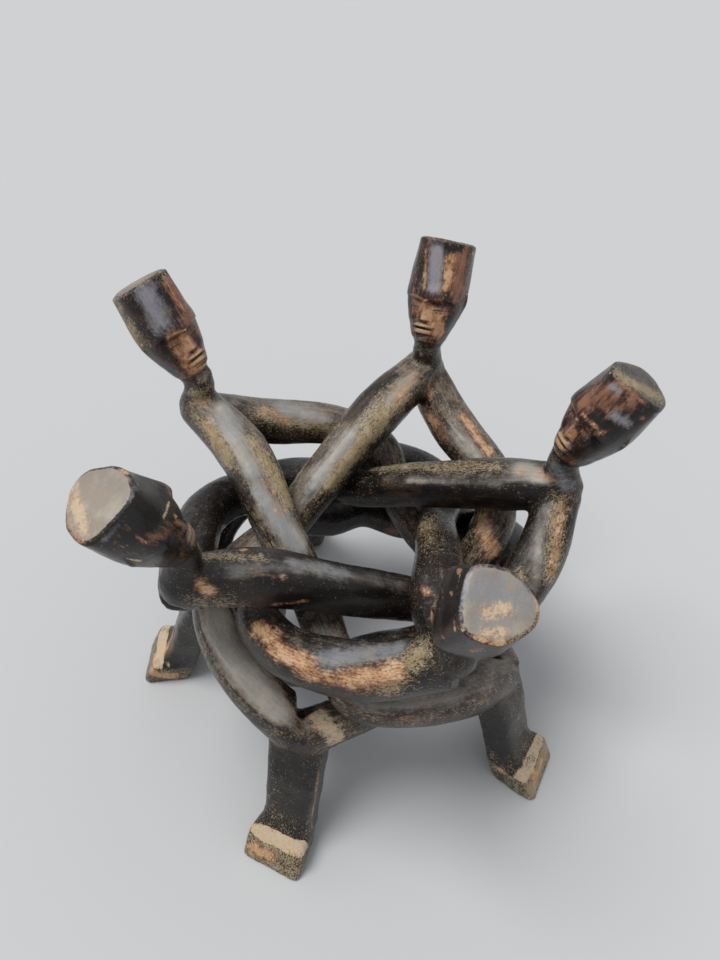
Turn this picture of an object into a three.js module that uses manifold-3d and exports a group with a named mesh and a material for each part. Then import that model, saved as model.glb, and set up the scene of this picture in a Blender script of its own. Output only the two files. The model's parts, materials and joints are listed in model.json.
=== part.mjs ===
// Stand of five interlocked carved wooden figures.
// Each figure is one closed wooden loop: a head on a neck, two limbs that fork from the neck,
// run round opposite sides of the middle and meet again at a knee, and a leg with a flat foot.
// The five loops are linked through one another, so none can be lifted out on its own.
// Millimetres, +Z up, soles on z = 0, the middle of the weave on a vertical line.

import * as THREE from 'three';
import { mergeVertices } from 'three/addons/utils/BufferGeometryUtils.js';
import Module from 'manifold-3d';

const wasm = await Module();
wasm.setup();

// The figures, by the place of their heads. Azimuth is counted anticlockwise from +X. As carved, the
// neck and leg of each stand a little off its own line, and its head and foot have their own pose.
const figures = [
  {
    name: 'figure_right', azimuth: 4, tint: 0x3a2a22, neckTurn: 0, neckOut: -4, legTurn: -3, footTurn: 0,
    headTurn: 18, headLean: 26, headSway: 0, headLength: 63, chinRise: 8, crownTurn: 38, crownWidth: 39,
    browSquareness: 5,
  },
  {
    name: 'figure_back', azimuth: 76, tint: 0x42302a, neckTurn: -4, neckOut: 1, legTurn: -3, footTurn: -7,
    headTurn: -12, headLean: 30, headSway: -1, headLength: 69, chinRise: 5, crownTurn: 16, crownWidth: 40,
    browSquareness: 3,
  },
  {
    name: 'figure_back_left', azimuth: 148, tint: 0x382b26, neckTurn: 2, neckOut: 6, legTurn: 1, footTurn: 6,
    headTurn: -4, headLean: 34, headSway: -2, headLength: 65, chinRise: 10, crownTurn: -10, crownWidth: 39,
    browSquareness: 3,
  },
  {
    name: 'figure_left', azimuth: 220, tint: 0x2f2723, neckTurn: 0, neckOut: 0, legTurn: 0, footTurn: 0,
    headTurn: -34, headLean: 30, headSway: 5, headLength: 63, chinRise: 9, crownTurn: -52, crownWidth: 41,
    browSquareness: 8,
  },
  {
    name: 'figure_front', azimuth: 292, tint: 0x33291f, neckTurn: 1, neckOut: 0, legTurn: 0, footTurn: 0,
    headTurn: 60, headLean: 29, headSway: 2, headLength: 62, chinRise: 10, crownTurn: 0, crownWidth: 36,
    browSquareness: 8,
  },
];

// Least running gap between two figures where their limbs lie against each other.
const clearance = 1;

// Neck and fork. Reach is the distance from the middle line, height is above the floor.
const neckReach = 122;
const neckTopHeight = 236;
const neckWidth = 18;
const forkReach = 127;
const forkHeight = 212;
const forkWidth = 27;
const forkDrop = 7;

// Knee, where both limbs meet the leg on the far side of the middle.
const kneeReach = 111;
const kneeHeight = 98;
const kneeWidth = 31;
const kneeDepth = 28;

// Notch that parts the two limbs where they meet over the knee.
const notchReach = 113;
const notchFloor = 96;
const notchAngle = 26;

// Leg and foot. The toe is the outermost line of the sole, the cap closes the leg over the knee.
const legWidth = 39;
const legDepth = 25;
const ankleWidth = 32;
const legCapHeight = 3;
const legCapWidth = 30;
const ankleHeight = 34;
const soleWidth = 45;
const soleLength = 36;
const heelOverhang = 12;
const toeReach = 165;
const toeHeight = 19;
const toeSlope = 8;
const ledgeHeight = 24;
const ledgeDepth = 7;

// Head. Heights are above the underside of the chin, depths are from face to back.
const headWidth = 42;
const headDepth = 41;
const headSink = 5;
const browHeight = 29;
const browDepth = 2.5;
const noseLength = 12;
const noseDepth = 4;
const noseWidth = 10;
const mouthHeight = 10;
const lipDepth = 2.5;
const lipWidth = 17;
const socketDepth = 1.5;

// The flat crown is a rounded triangle, blunt over the forehead and narrow at the back. Each flat side of
// it is given by its turn from the forehead and its distance from the axis as a share of the crown's width.
const crownFlats = [
  { turn: 0, share: 0.51 },
  { turn: 44, share: 0.61 },
  { turn: 88, share: 0.48 },
  { turn: 130, share: 0.42 },
  { turn: 180, share: 0.48 },
];
const crownSharpness = 16;

// The crossing limb runs as a nearly straight bar past the eye of the weave, then dips under
// the next figures to the knee. Turn is counted anticlockwise from the figure's own head.
const crossingLimb = [
  { turn: 9, reach: 87, height: 199, width: 33, depth: 30 },
  { turn: 42, reach: 54, height: 175, width: 29, depth: 27 },
  { turn: 91, reach: 55, height: 153, width: 26, depth: 25 },
  { turn: 113, reach: 82, height: 142, width: 26, depth: 25 },
  { turn: 123, reach: 100, height: 133, width: 26, depth: 25 },
  { turn: 140, reach: 107, height: 132, width: 27, depth: 26 },
  { turn: 159, reach: 111, height: 124, width: 29, depth: 27 },
];

// The wrapping limb goes round the other way, outside first and then low along the eye.
const wrappingLimb = [
  { turn: -19, reach: 112, height: 182, width: 31, depth: 29 },
  { turn: -44, reach: 103, height: 170, width: 28, depth: 27 },
  { turn: -63, reach: 91, height: 159, width: 27, depth: 26 },
  { turn: -80, reach: 71, height: 132, width: 26, depth: 25 },
  { turn: -107, reach: 66, height: 110, width: 25, depth: 24 },
  { turn: -130, reach: 78, height: 103, width: 25, depth: 24 },
  { turn: -153, reach: 83, height: 94, width: 25, depth: 24 },
];

// How square the carved sections are: 2 is an ellipse, larger is nearer to a rectangle.
const limbSquareness = 2.7;
const legSquareness = 4;
const faceSquareness = 3;
const soleSquareness = 7;
const neckSquareness = 2.3;

const limbSides = 12;
const limbRings = 25;
const levelSides = 16;

const radians = THREE.MathUtils.degToRad;
const upward = new THREE.Vector3(0, 0, 1);

// Point at a turn round the middle, a reach from it and a height.
function polar(turn, reach, height) {
  const a = radians(turn);
  return new THREE.Vector3(reach * Math.cos(a), reach * Math.sin(a), height);
}

// Offset on a superellipse of half sizes a and b, at an angle round it.
function squared(angle, a, b, power) {
  const c = Math.cos(angle);
  const s = Math.sin(angle);
  const u = a * Math.sign(c) * Math.abs(c) ** (2 / power);
  const v = b * Math.sign(s) * Math.abs(s) ** (2 / power);
  return [u, v];
}

// Closed skin over a row of equal rings, with a fan over each end.
function loft(rings) {
  const count = rings[0].length;
  const points = rings.flat();
  const index = [];
  for (let i = 0; i + 1 < rings.length; i += 1) {
    for (let j = 0; j < count; j += 1) {
      const a = i * count + j;
      const b = i * count + ((j + 1) % count);
      index.push(a, b, b + count, a, b + count, a + count);
    }
  }
  const ends = [rings[0], rings[rings.length - 1]];
  const starts = [0, (rings.length - 1) * count];
  ends.forEach((ring, e) => {
    const middle = points.length;
    points.push(ring.reduce((sum, p) => sum.add(p), new THREE.Vector3()).divideScalar(count));
    for (let j = 0; j < count; j += 1) {
      const a = starts[e] + j;
      const b = starts[e] + ((j + 1) % count);
      if (e === 0) index.push(middle, b, a);
      else index.push(middle, a, b);
    }
  });
  const geometry = new THREE.BufferGeometry();
  geometry.setAttribute('position', new THREE.Float32BufferAttribute(points.flatMap((p) => p.toArray()), 3));
  geometry.setIndex(index);
  return outward(geometry);
}

// Turn the faces over if they enclose a negative volume.
function outward(geometry) {
  const p = geometry.attributes.position;
  const index = geometry.index.array;
  const [a, b, c] = [new THREE.Vector3(), new THREE.Vector3(), new THREE.Vector3()];
  let volume = 0;
  for (let i = 0; i < index.length; i += 3) {
    a.fromBufferAttribute(p, index[i]);
    b.fromBufferAttribute(p, index[i + 1]);
    c.fromBufferAttribute(p, index[i + 2]);
    volume += a.dot(b.cross(c));
  }
  if (volume < 0) geometry.setIndex(Array.from(index).reverse());
  return geometry;
}

// Solid for joining and cutting, from a closed geometry.
function solidOf(geometry) {
  const bare = geometry.deleteAttribute('normal').deleteAttribute('uv');
  const merged = mergeVertices(bare, 1e-4);
  return new wasm.Manifold(new wasm.Mesh({
    numProp: 3,
    vertProperties: new Float32Array(merged.attributes.position.array),
    triVerts: new Uint32Array(merged.index.array),
  }));
}

// Geometry of a joined or cut solid.
function geometryOf(solid) {
  const mesh = solid.getMesh();
  const geometry = new THREE.BufferGeometry();
  geometry.setAttribute('position', new THREE.BufferAttribute(new Float32Array(mesh.vertProperties), 3));
  geometry.setIndex(new THREE.BufferAttribute(new Uint32Array(mesh.triVerts), 1));
  geometry.computeVertexNormals();
  return geometry;
}

// Carved bar through a list of stations, each with a place, a width and a depth.
function bar(stations, extra) {
  const path = new THREE.CatmullRomCurve3(stations.map((s) => s.point), false, 'centripetal');
  const last = stations.length - 1;
  const rings = [];
  for (let i = 0; i <= limbRings; i += 1) {
    const t = i / limbRings;
    const k = Math.min(Math.floor(t * last), last - 1);
    const mix = THREE.MathUtils.smoothstep(t * last - k, 0, 1);
    const width = THREE.MathUtils.lerp(stations[k].width, stations[k + 1].width, mix) + extra;
    const depth = THREE.MathUtils.lerp(stations[k].depth, stations[k + 1].depth, mix) + extra;
    const along = path.getTangent(t);
    const side = new THREE.Vector3().crossVectors(upward, along).normalize();
    const rise = new THREE.Vector3().crossVectors(along, side);
    const centre = path.getPoint(t);
    const ring = [];
    for (let j = 0; j < limbSides; j += 1) {
      const [u, v] = squared((j + 0.5) / limbSides * 2 * Math.PI, width / 2, depth / 2, limbSquareness);
      ring.push(centre.clone().addScaledVector(side, u).addScaledVector(rise, v));
    }
    rings.push(ring);
  }
  return loft(rings);
}

function station(s) {
  return { point: polar(s.turn, s.reach, s.height), width: s.width, depth: s.depth };
}

// The bar that crosses the middle, from the fork of the neck down to the knee.
function crossingStations(figure) {
  return [
    { point: polar(figure.neckTurn, forkReach + figure.neckOut, forkHeight), width: forkWidth, depth: forkWidth },
    ...crossingLimb.map(station),
    { point: polar(180 + figure.legTurn, kneeReach, kneeHeight), width: kneeWidth, depth: kneeDepth },
  ];
}

// The bar that goes round the outside, from just under the fork down to the knee.
function wrappingStations(figure) {
  const forkPoint = polar(figure.neckTurn, forkReach + figure.neckOut, forkHeight - forkDrop);
  return [
    { point: forkPoint, width: forkWidth, depth: forkWidth },
    ...wrappingLimb.map(station),
    { point: polar(figure.legTurn - 180, kneeReach, kneeHeight), width: kneeWidth, depth: kneeDepth },
  ];
}

// Level section round a point, from its half sizes outwards and sideways.
function levelRing(centre, along, across, power) {
  const ring = [];
  for (let j = 0; j < levelSides; j += 1) {
    const [u, v] = squared((j + 0.5) / levelSides * 2 * Math.PI, along, across, power);
    ring.push(new THREE.Vector3(centre.x + u, centre.y + v, centre.z));
  }
  return ring;
}

// Short round neck that widens into the fork.
function neck() {
  const middleReach = (forkReach + neckReach) / 2;
  const middleHeight = (forkHeight + neckTopHeight) / 2;
  const rows = [
    { reach: forkReach, height: forkHeight - forkDrop, size: forkWidth * 0.9 },
    { reach: forkReach, height: forkHeight + 2, size: forkWidth * 0.92 },
    { reach: middleReach, height: middleHeight, size: neckWidth + 2 },
    { reach: neckReach, height: neckTopHeight - 3, size: neckWidth },
    { reach: neckReach + 1, height: neckTopHeight + 6, size: neckWidth - 3 },
  ];
  return loft(rows.map((row) => {
    const middle = new THREE.Vector3(row.reach, 0, row.height);
    return levelRing(middle, row.size / 2, row.size / 2, neckSquareness);
  }));
}

// Slab of a leg that tapers from the knee to the ankle, with a ledge over the toes. The foot is
// turned a little about its own middle, and the shin takes up the turn.
function leg(footTurn) {
  const heel = toeReach - soleLength;
  const soleMiddle = (heel + toeReach) / 2;
  const toeTop = toeReach - toeSlope;
  const kneeInner = kneeReach - legDepth / 2;
  const shinHeight = (kneeHeight + ankleHeight) / 2;
  const shinWidth = (legWidth + ankleWidth) / 2;
  const ankleInner = heel - heelOverhang;
  const shinInner = (ankleInner + kneeInner) / 2;
  const toeInner = heel - heelOverhang * toeHeight / ankleHeight;
  const ledgeInner = heel - heelOverhang * ledgeHeight / ankleHeight;
  const sole = { width: soleWidth, power: soleSquareness, turned: 1 };
  const shank = { width: legWidth, power: legSquareness };
  const rows = [
    { ...sole, height: 0, inner: heel, outer: toeReach },
    { ...sole, height: toeHeight, inner: toeInner, outer: toeTop },
    { ...sole, height: ledgeHeight, inner: ledgeInner, outer: toeTop - ledgeDepth, width: ankleWidth + 4, turned: 0.9 },
    { ...shank, height: ankleHeight, inner: ankleInner, outer: ankleInner + legDepth, width: ankleWidth, turned: 0.7 },
    { ...shank, height: shinHeight, inner: shinInner, outer: shinInner + legDepth, width: shinWidth, turned: 0.3 },
    { ...shank, height: kneeHeight - 2 * legCapHeight, inner: kneeInner, outer: kneeInner + legDepth },
    { ...shank, height: kneeHeight + legCapHeight, inner: kneeInner, outer: kneeInner + legDepth, width: legCapWidth },
  ];
  return loft(rows.map((row) => {
    const middle = new THREE.Vector3((row.inner + row.outer) / 2 - soleMiddle, 0, row.height);
    const ring = levelRing(middle, (row.outer - row.inner) / 2, row.width / 2, row.power);
    const turn = radians(footTurn * (row.turned ?? 0));
    return ring.map((p) => p.applyAxisAngle(upward, turn).setX(p.x + soleMiddle));
  }));
}

// Upright wedge whose edge points outwards over the knee and whose back is open to the middle.
function notch() {
  const length = kneeReach - notchReach + kneeWidth + legDepth;
  const spread = length * Math.tan(radians(notchAngle));
  const outline = new THREE.Shape([
    new THREE.Vector2(notchReach, 0),
    new THREE.Vector2(notchReach - length, spread),
    new THREE.Vector2(notchReach - length, -spread),
  ]);
  const wedge = new THREE.ExtrudeGeometry(outline, { depth: 2 * kneeDepth, bevelEnabled: false });
  return wedge.translate(0, 0, notchFloor);
}

// Rows of the head from the neck to the crown: height over the chin, half width, depth in front of the
// axis and behind it, and how far the row has changed over to the outline of the crown.
function headRows(figure) {
  const w = headWidth / 2;
  const d = headDepth / 2;
  const neckHalf = neckWidth / 2;
  const noseTop = browHeight - 2;
  const noseBase = noseTop - noseLength;
  const forehead = figure.headLength - browHeight;
  return [
    { h: -figure.chinRise, w: neckHalf, front: neckHalf, back: neckHalf },
    { h: 0, w: neckHalf, front: neckHalf + 0.5, back: neckHalf },
    { h: mouthHeight * 0.3, w: w * 0.54, front: d * 0.66, back: d * 0.55 },
    { h: mouthHeight - 3, w: w * 0.61, front: d * 0.69, back: d * 0.62, lip: 0.8 },
    { h: mouthHeight, w: w * 0.66, front: d * 0.70, back: d * 0.67, lip: 0.1 },
    { h: mouthHeight + 3, w: w * 0.71, front: d * 0.72, back: d * 0.73, lip: 1 },
    { h: noseBase, w: w * 0.76, front: d * 0.73, back: d * 0.78, nose: 1 },
    { h: noseBase + noseLength * 0.5, w: w * 0.84, front: d * 0.74, back: d * 0.86, nose: 0.65 },
    { h: noseTop - 1, w: w * 0.91, front: d * 0.76, back: d * 0.92, nose: 0.35, socket: 1 },
    { h: browHeight, w: w * 0.96, front: d * 0.80 + browDepth, back: d * 0.94, crown: 0.05, brow: 1 },
    { h: browHeight + forehead * 0.35, w, front: d * 0.96, back: d, crown: 0.4, brow: 1 },
    { h: browHeight + forehead * 0.7, w, front: d * 0.98, back: d, crown: 0.8 },
    { h: figure.headLength - 1.5, w, front: d, back: d, crown: 1 },
    { h: figure.headLength, w, front: d, back: d, crown: 1, inset: 0.8 },
  ];
}

// Angles round the head, from the middle of the face, closer together over the face.
const faceAngles = [0, 10, 22, 34, 46, 60, 76, 94, 116, 138, 160];

// How much of a feature shows at a distance from its middle line, on a parabola.
function bulge(distance, halfWidth) {
  return Math.max(0, 1 - (distance / halfWidth) ** 2);
}

// Distance from the head's axis to the rim of a crown: the power mean of its flat sides.
function crownRadius(turn, width) {
  const sides = crownFlats.flatMap((flat) => (flat.turn % 180 ? [flat, { ...flat, turn: -flat.turn }] : [flat]));
  const reach = sides.map((side) => Math.max(0, Math.cos(radians(turn - side.turn))) / (side.share * width));
  return reach.reduce((sum, r) => sum + r ** crownSharpness, 0) ** (-1 / crownSharpness);
}

// One row of the head: a flattened round with the carved face that turns into the outline of the crown.
function headRing(row, figure) {
  const angles = [...faceAngles, 180, ...faceAngles.slice(1).reverse().map((a) => -a)];
  const share = row.crown ?? 0;
  return angles.map((angle) => {
    const turn = angle - figure.crownTurn * share;
    const isFront = Math.cos(radians(turn)) > 0;
    const power = row.brow ? figure.browSquareness : faceSquareness;
    const [u, v] = squared(radians(turn), isFront ? row.front : row.back, row.w, isFront ? power : 2);
    const nose = (row.nose ?? 0) * noseDepth * bulge(v, noseWidth / 2);
    const lip = (row.lip ?? 0) * lipDepth * bulge(v, lipWidth / 2);
    const socket = (row.socket ?? 0) * socketDepth * bulge(Math.abs(v) - row.w * 0.45, row.w * 0.35);
    const relief = isFront ? nose + lip - socket : 0;
    const rim = crownRadius(turn + figure.crownTurn, figure.crownWidth) - (row.inset ?? 0);
    const x = THREE.MathUtils.lerp(u + relief, rim * Math.cos(radians(turn)), share);
    const y = THREE.MathUtils.lerp(v, rim * Math.sin(radians(turn)), share);
    return new THREE.Vector3(-x, y, row.h);
  });
}

// Head with its face towards the middle, turned on its own axis, swayed and leaned outwards.
function head(figure) {
  const geometry = loft(headRows(figure).map((row) => headRing(row, figure)));
  geometry.translate(0, 0, figure.chinRise);
  geometry.rotateZ(radians(figure.headTurn));
  geometry.rotateX(radians(figure.headSway));
  geometry.rotateY(radians(figure.headLean));
  geometry.translate(neckReach, 0, neckTopHeight - headSink);
  return geometry;
}

// Move a geometry out from the middle line and turn it round that line.
function placed(geometry, out, turn) {
  return geometry.translate(out, 0, 0).rotateZ(radians(turn));
}

// Limbs alone, grown by an extra thickness: what a neighbour has to keep clear of.
function limbs(figure, extra) {
  return solidOf(bar(crossingStations(figure), extra)).add(solidOf(bar(wrappingStations(figure), extra)));
}

function carvedFigure(figure) {
  return limbs(figure, 0)
    .add(solidOf(placed(leg(figure.footTurn), 0, 180 + figure.legTurn)))
    .subtract(solidOf(placed(notch(), 0, 180 + figure.legTurn)))
    .add(solidOf(placed(neck(), figure.neckOut, figure.neckTurn)))
    .add(solidOf(placed(head(figure), figure.neckOut, figure.neckTurn)));
}

// Every figure is cut back by the limbs of the others, so that a thicker limb gets its seat.
function freed(figure) {
  return figures.filter((other) => other !== figure).reduce((solid, other) => {
    const sweep = limbs(other, 2 * clearance).rotate([0, 0, other.azimuth - figure.azimuth]);
    return solid.subtract(sweep);
  }, carvedFigure(figure));
}

function makeFigure(figure) {
  const material = new THREE.MeshStandardMaterial({ color: figure.tint, roughness: 0.45, metalness: 0 });
  const mesh = new THREE.Mesh(geometryOf(freed(figure)), material);
  mesh.name = figure.name;
  mesh.rotation.z = radians(figure.azimuth);
  return mesh;
}

// The stand, moved so that the middle of its outer box is over the origin.
const stand = new THREE.Group();
figures.forEach((figure) => stand.add(makeFigure(figure)));
stand.updateMatrixWorld(true);
const outline = new THREE.Box3().setFromObject(stand, true);
const centre = outline.getCenter(new THREE.Vector3());
stand.position.set(-centre.x, -centre.y, 0);

export default stand;
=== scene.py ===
"""Carved stand of five interlocked wooden figures, dressed as stained, waxed and worn hardwood.

Every figure is one closed loop: a head on a neck, two limbs that fork from the neck and meet again
at a knee, and a leg with a flat foot. Lengths in the tables are millimetres, meshes are metres.
"""

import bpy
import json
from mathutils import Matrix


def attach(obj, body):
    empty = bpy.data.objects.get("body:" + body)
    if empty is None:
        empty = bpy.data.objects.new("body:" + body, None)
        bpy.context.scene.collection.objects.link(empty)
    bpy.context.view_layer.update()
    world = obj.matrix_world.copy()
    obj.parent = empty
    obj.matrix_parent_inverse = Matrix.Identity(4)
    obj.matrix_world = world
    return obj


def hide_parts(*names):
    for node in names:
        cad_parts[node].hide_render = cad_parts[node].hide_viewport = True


bl_info = {
    "name": "Interlocked figure stand",
    "version": (1, 0, 0),
    "blender": (4, 5, 0),
    "location": "View3D > Sidebar > Figure stand",
    "description": "Carves five linked wooden figures over their packed solids and lights them",
    "category": "Object",
}

import json
import math

import bmesh
import bpy
import numpy as np
from bpy.props import FloatProperty, FloatVectorProperty, IntProperty, PointerProperty
from mathutils import Matrix, Vector
from mathutils.bvhtree import BVHTree

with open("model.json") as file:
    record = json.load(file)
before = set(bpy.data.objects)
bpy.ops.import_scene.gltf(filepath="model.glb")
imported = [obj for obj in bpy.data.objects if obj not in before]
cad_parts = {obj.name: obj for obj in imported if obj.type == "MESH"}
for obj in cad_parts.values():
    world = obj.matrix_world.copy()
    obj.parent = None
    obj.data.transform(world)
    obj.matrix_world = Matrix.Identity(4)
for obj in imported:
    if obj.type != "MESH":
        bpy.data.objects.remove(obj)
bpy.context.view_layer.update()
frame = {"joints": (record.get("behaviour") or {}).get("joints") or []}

MM = 0.001
MIDDLE = np.array([*frame["joints"][0]["pos_m"][:2], 0.0]) / MM

# The figures as carved. Azimuths are anticlockwise from +X. Facet is the half width of the flat over the
# brow. Stain, wear, polish, blue, dust, face and crown are shares from 0 to 1: how dark the figure is, how
# much bare wood shows, how far its tops are painted pale as polish with a painted sheen, how cold that
# painted sheen looks, how densely dust lies, how bare the face is and how pale the crown is painted, as
# polish with a painted reflection.
FIGURES = (
    dict(name="figure_right", azimuth=4, neck_turn=0, neck_out=-4, head_turn=18, head_lean=26, head_sway=0,
         head_length=63, chin_rise=8, crown_turn=38, crown_width=39, brow_square=5, facet=13, leg_turn=-3,
         foot_turn=0, stain=0.80, wear=0.40, polish=0.42, blue=0.25, dust=0.55, face=0.80, crown=0.05),
    dict(name="figure_back", azimuth=76, neck_turn=-4, neck_out=1, head_turn=-12, head_lean=30, head_sway=-1,
         head_length=69, chin_rise=5, crown_turn=16, crown_width=40, brow_square=3, facet=11, leg_turn=-3,
         foot_turn=-7, stain=0.42, wear=0.62, polish=0.60, blue=0.45, dust=0.80, face=0.95, crown=0.12),
    dict(name="figure_back_left", azimuth=148, neck_turn=2, neck_out=6, head_turn=-4, head_lean=34,
         head_sway=-2, head_length=65, chin_rise=10, crown_turn=-10, crown_width=39, brow_square=3, facet=10,
         leg_turn=1, foot_turn=6, stain=0.42, wear=0.55, polish=0.74, blue=0.80, dust=0.78, face=1.0,
         crown=0.12),
    dict(name="figure_left", azimuth=220, neck_turn=0, neck_out=0, head_turn=-34, head_lean=30, head_sway=5,
         head_length=63, chin_rise=9, crown_turn=-52, crown_width=41, brow_square=8, facet=18, leg_turn=0,
         foot_turn=0, stain=0.95, wear=0.38, polish=0.34, blue=0.65, dust=0.40, face=0.45, crown=1.0),
    dict(name="figure_front", azimuth=292, neck_turn=1, neck_out=0, head_turn=60, head_lean=29, head_sway=2,
         head_length=62, chin_rise=10, crown_turn=0, crown_width=36, brow_square=8, facet=18, leg_turn=0,
         foot_turn=0, stain=0.78, wear=0.55, polish=0.42, blue=0.70, dust=0.60, face=0.35, crown=0.95),
)

# Neck, fork, knee, leg and head sizes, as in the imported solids.
NECK_REACH = 122
NECK_TOP = 236
NECK_WIDTH = 18
FORK_REACH = 127
FORK_HEIGHT = 212
FORK_WIDTH = 27
FORK_DROP = 7
KNEE_REACH = 111
KNEE_HEIGHT = 98
KNEE_WIDTH = 31
KNEE_DEPTH = 28
NOTCH_REACH = 113
NOTCH_FLOOR = 96
NOTCH_ANGLE = 26
LEG_WIDTH = 39
LEG_DEPTH = 25
ANKLE_WIDTH = 32
ANKLE_HEIGHT = 34
SOLE_WIDTH = 45
SOLE_LENGTH = 36
TOE_REACH = 165
TOE_HEIGHT = 19
TOE_SLOPE = 8
LEDGE_HEIGHT = 24
LEDGE_DEPTH = 7
HEEL_OVERHANG = 12
HEAD_WIDTH = 42
HEAD_DEPTH = 41
HEAD_SINK = 5
BROW_HEIGHT = 29
NOSE_BASE = 15
MOUTH_HEIGHT = 10

# Width of the heel as a share of the width at the toes.
HEEL_SHARE = 0.74

# Half widths of the neck at shares of its height, and how far it runs up into the head.
NECK_PROFILE = ((0, 12.2), (0.25, 12.4), (0.55, 10.3), (0.8, 9.3), (1, 8.4))
NECK_LAP = 6

# Flat sides of the crown's outline: turn from the forehead, distance as a share of the crown's width.
CROWN_FLATS = ((0, 0.52), (44, 0.62), (-44, 0.62), (88, 0.49), (-88, 0.49), (130, 0.43), (-130, 0.43),
               (180, 0.49))

# How sharply those sides meet, and how far the outline keeps inside the solid's.
CROWN_SHARPNESS = 9
CROWN_MARGIN = 0.4

# How far a head's rows blend up and down, the turn and sharpness of the flats beside its forehead, half the
# width of the chin's flat, and how far from its axis a point is head, and is cut finer.
ROW_SOFTNESS = 5
SLANT_TURN = 40
SLANT_SHARPNESS = 24
CHIN_FACET = 8
HEAD_REACH = 34
REFINED_REACH = 30

# Squareness of the sections of a limb and a neck, and how finely the parts are first laid out.
LIMB_SQUARENESS = 2.5
NECK_SQUARENESS = 2.2
LIMB_RINGS = 150
LIMB_STATIONS = 160
LIMB_SIDES = 48
NECK_RINGS = 24
NECK_SIDES = 40
LEG_SIDES = 96
HEAD_RINGS = 100
HEAD_SIDES = 120

# Adze cuts: their size across, up and along a limb. Lumps: the sizes of the unevenness under them.
SCALLOP_SIZE = (10, 10, 24)
LUMP_SIZES = (5.0, 2.2)
LUMP_HEIGHT = 0.22

# Height up to which a point counts as sole, and how far inwards of the knee and sideways one is leg.
SOLE_BAND = 0.9
LEG_INSET = 26
LEG_SPREAD = 30

# Shares of the way that a round of smoothing moves a point, on the skin and where ridges are sought, and
# the rounds of the latter.
SKIN_SHARE = 0.5
RIDGE_SHARE = 0.6
RIDGE_ROUNDS = 8

# How far a head's points may lie from its flats and still be moved onto them.
SNAP_REACH = 4

# Parts that the points are split into where each is compared with a whole limb.
CHUNKS = 40

# Stations of the two limbs: turn from the figure's own head, reach, height, width, depth.
CROSSING_LIMB = (
    (9, 87, 199, 33, 30),
    (42, 54, 175, 29, 27),
    (91, 55, 153, 26, 25),
    (113, 82, 142, 26, 25),
    (123, 100, 133, 26, 25),
    (140, 107, 132, 27, 26),
    (159, 111, 124, 29, 27),
)
WRAPPING_LIMB = (
    (-19, 112, 182, 31, 29),
    (-44, 103, 170, 28, 27),
    (-63, 91, 159, 27, 26),
    (-80, 71, 132, 26, 25),
    (-107, 66, 110, 25, 24),
    (-130, 78, 103, 25, 24),
    (-153, 83, 94, 25, 24),
)


def length_property(name, description, default):
    """Property for a length in metres."""
    return FloatProperty(name=name, description=description, default=default, unit="LENGTH")


class FigureStandSizes(bpy.types.PropertyGroup):
    """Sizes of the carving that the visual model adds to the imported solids."""

    cell: length_property("Surface cell", "Edge of the cells that the wood is cut into", 0.0013)
    swell: length_property("Limb swell", "Growth of a limb's radius over the solid's", 0.0005)
    scallop: length_property("Tool mark depth", "Depth of the shallow adze cuts", 0.00055)
    brow: length_property("Brow ledge", "Overhang of the brow above the eyes", 0.0022)
    nose: length_property("Nose", "How far the tip of the nose stands out", 0.0040)
    lips: length_property("Lips", "How far the lips stand out", 0.0032)
    ears: length_property("Ears", "How far the ear ridges stand out", 0.0010)
    smoothing: IntProperty(name="Smoothing", description="Rounds of smoothing after the parts are joined",
                           default=5, min=0, max=40)


def colour_property(name, description, default):
    """Property for a colour in linear values."""
    return FloatVectorProperty(name=name, description=description, subtype="COLOR", size=3, default=default)


class FigureStandColours(bpy.types.PropertyGroup):
    """Colours of the wood and its finish in plain light, with the sheen and reflections painted on the
    polish.
    """

    black: colour_property("Dark stain", "Deepest stain", (0.007, 0.005, 0.004))
    brown: colour_property("Brown stain", "Thinner stain", (0.062, 0.036, 0.022))
    umber: colour_property("Thin stain", "Stain rubbed thin on the sides", (0.190, 0.140, 0.092))
    maroon: colour_property("Head stain", "Dark reddish stain on the heads", (0.058, 0.026, 0.017))
    russet: colour_property("Red stain", "Reddish stain rubbed thin", (0.320, 0.140, 0.080))
    # Painted reflection: the blue-grey sheen of the wax on tops and flats, laid in as colour.
    slate_reflection: colour_property("Cold painted reflection", "Blue-grey painted reflection", (0.245, 0.262, 0.275))
    # The next three are the pale tops: wax and dust, together with a painted sheen.
    grey: colour_property("Pale polish", "Waxed and dusty polish on the tops", (0.440, 0.400, 0.320))
    mauve: colour_property("Warm polish", "Warmer stretches of the polish", (0.330, 0.265, 0.215))
    ash: colour_property("Rubbed polish", "Palest polish, on much handled wood", (0.620, 0.570, 0.470))
    # Painted reflection: the violet sheen on the foreheads' flats.
    violet_reflection: colour_property("Forehead painted reflection", "Violet painted reflection on the foreheads", (0.350, 0.335, 0.375))
    orange: colour_property("Orange wood", "Edge of a worn patch", (0.500, 0.230, 0.110))
    tan: colour_property("Worn wood", "Wood where the stain is worn off", (0.690, 0.430, 0.240))
    cream: colour_property("Raw wood", "Freshly cut wood and pale dust", (0.660, 0.545, 0.390))
    gold: colour_property("Gold dust", "Dust in the pores", (0.430, 0.320, 0.170))


class FigureStandStage(bpy.types.PropertyGroup):
    """Floor, backdrop and light."""

    floor: colour_property("Floor", "Colour of the floor", (0.60, 0.61, 0.62))
    backdrop: FloatProperty(name="Backdrop", description="Brightness beyond the floor", default=0.62)
    ambient: FloatProperty(name="Ambient", description="Strength of the even light", default=0.50)
    key: FloatProperty(name="Key", description="Strength of the broad soft lamp overhead", default=1.9)
    key_spread: FloatProperty(name="Key spread", description="Angle across the soft lamp", default=0.48,
                              unit="ROTATION")


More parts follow.
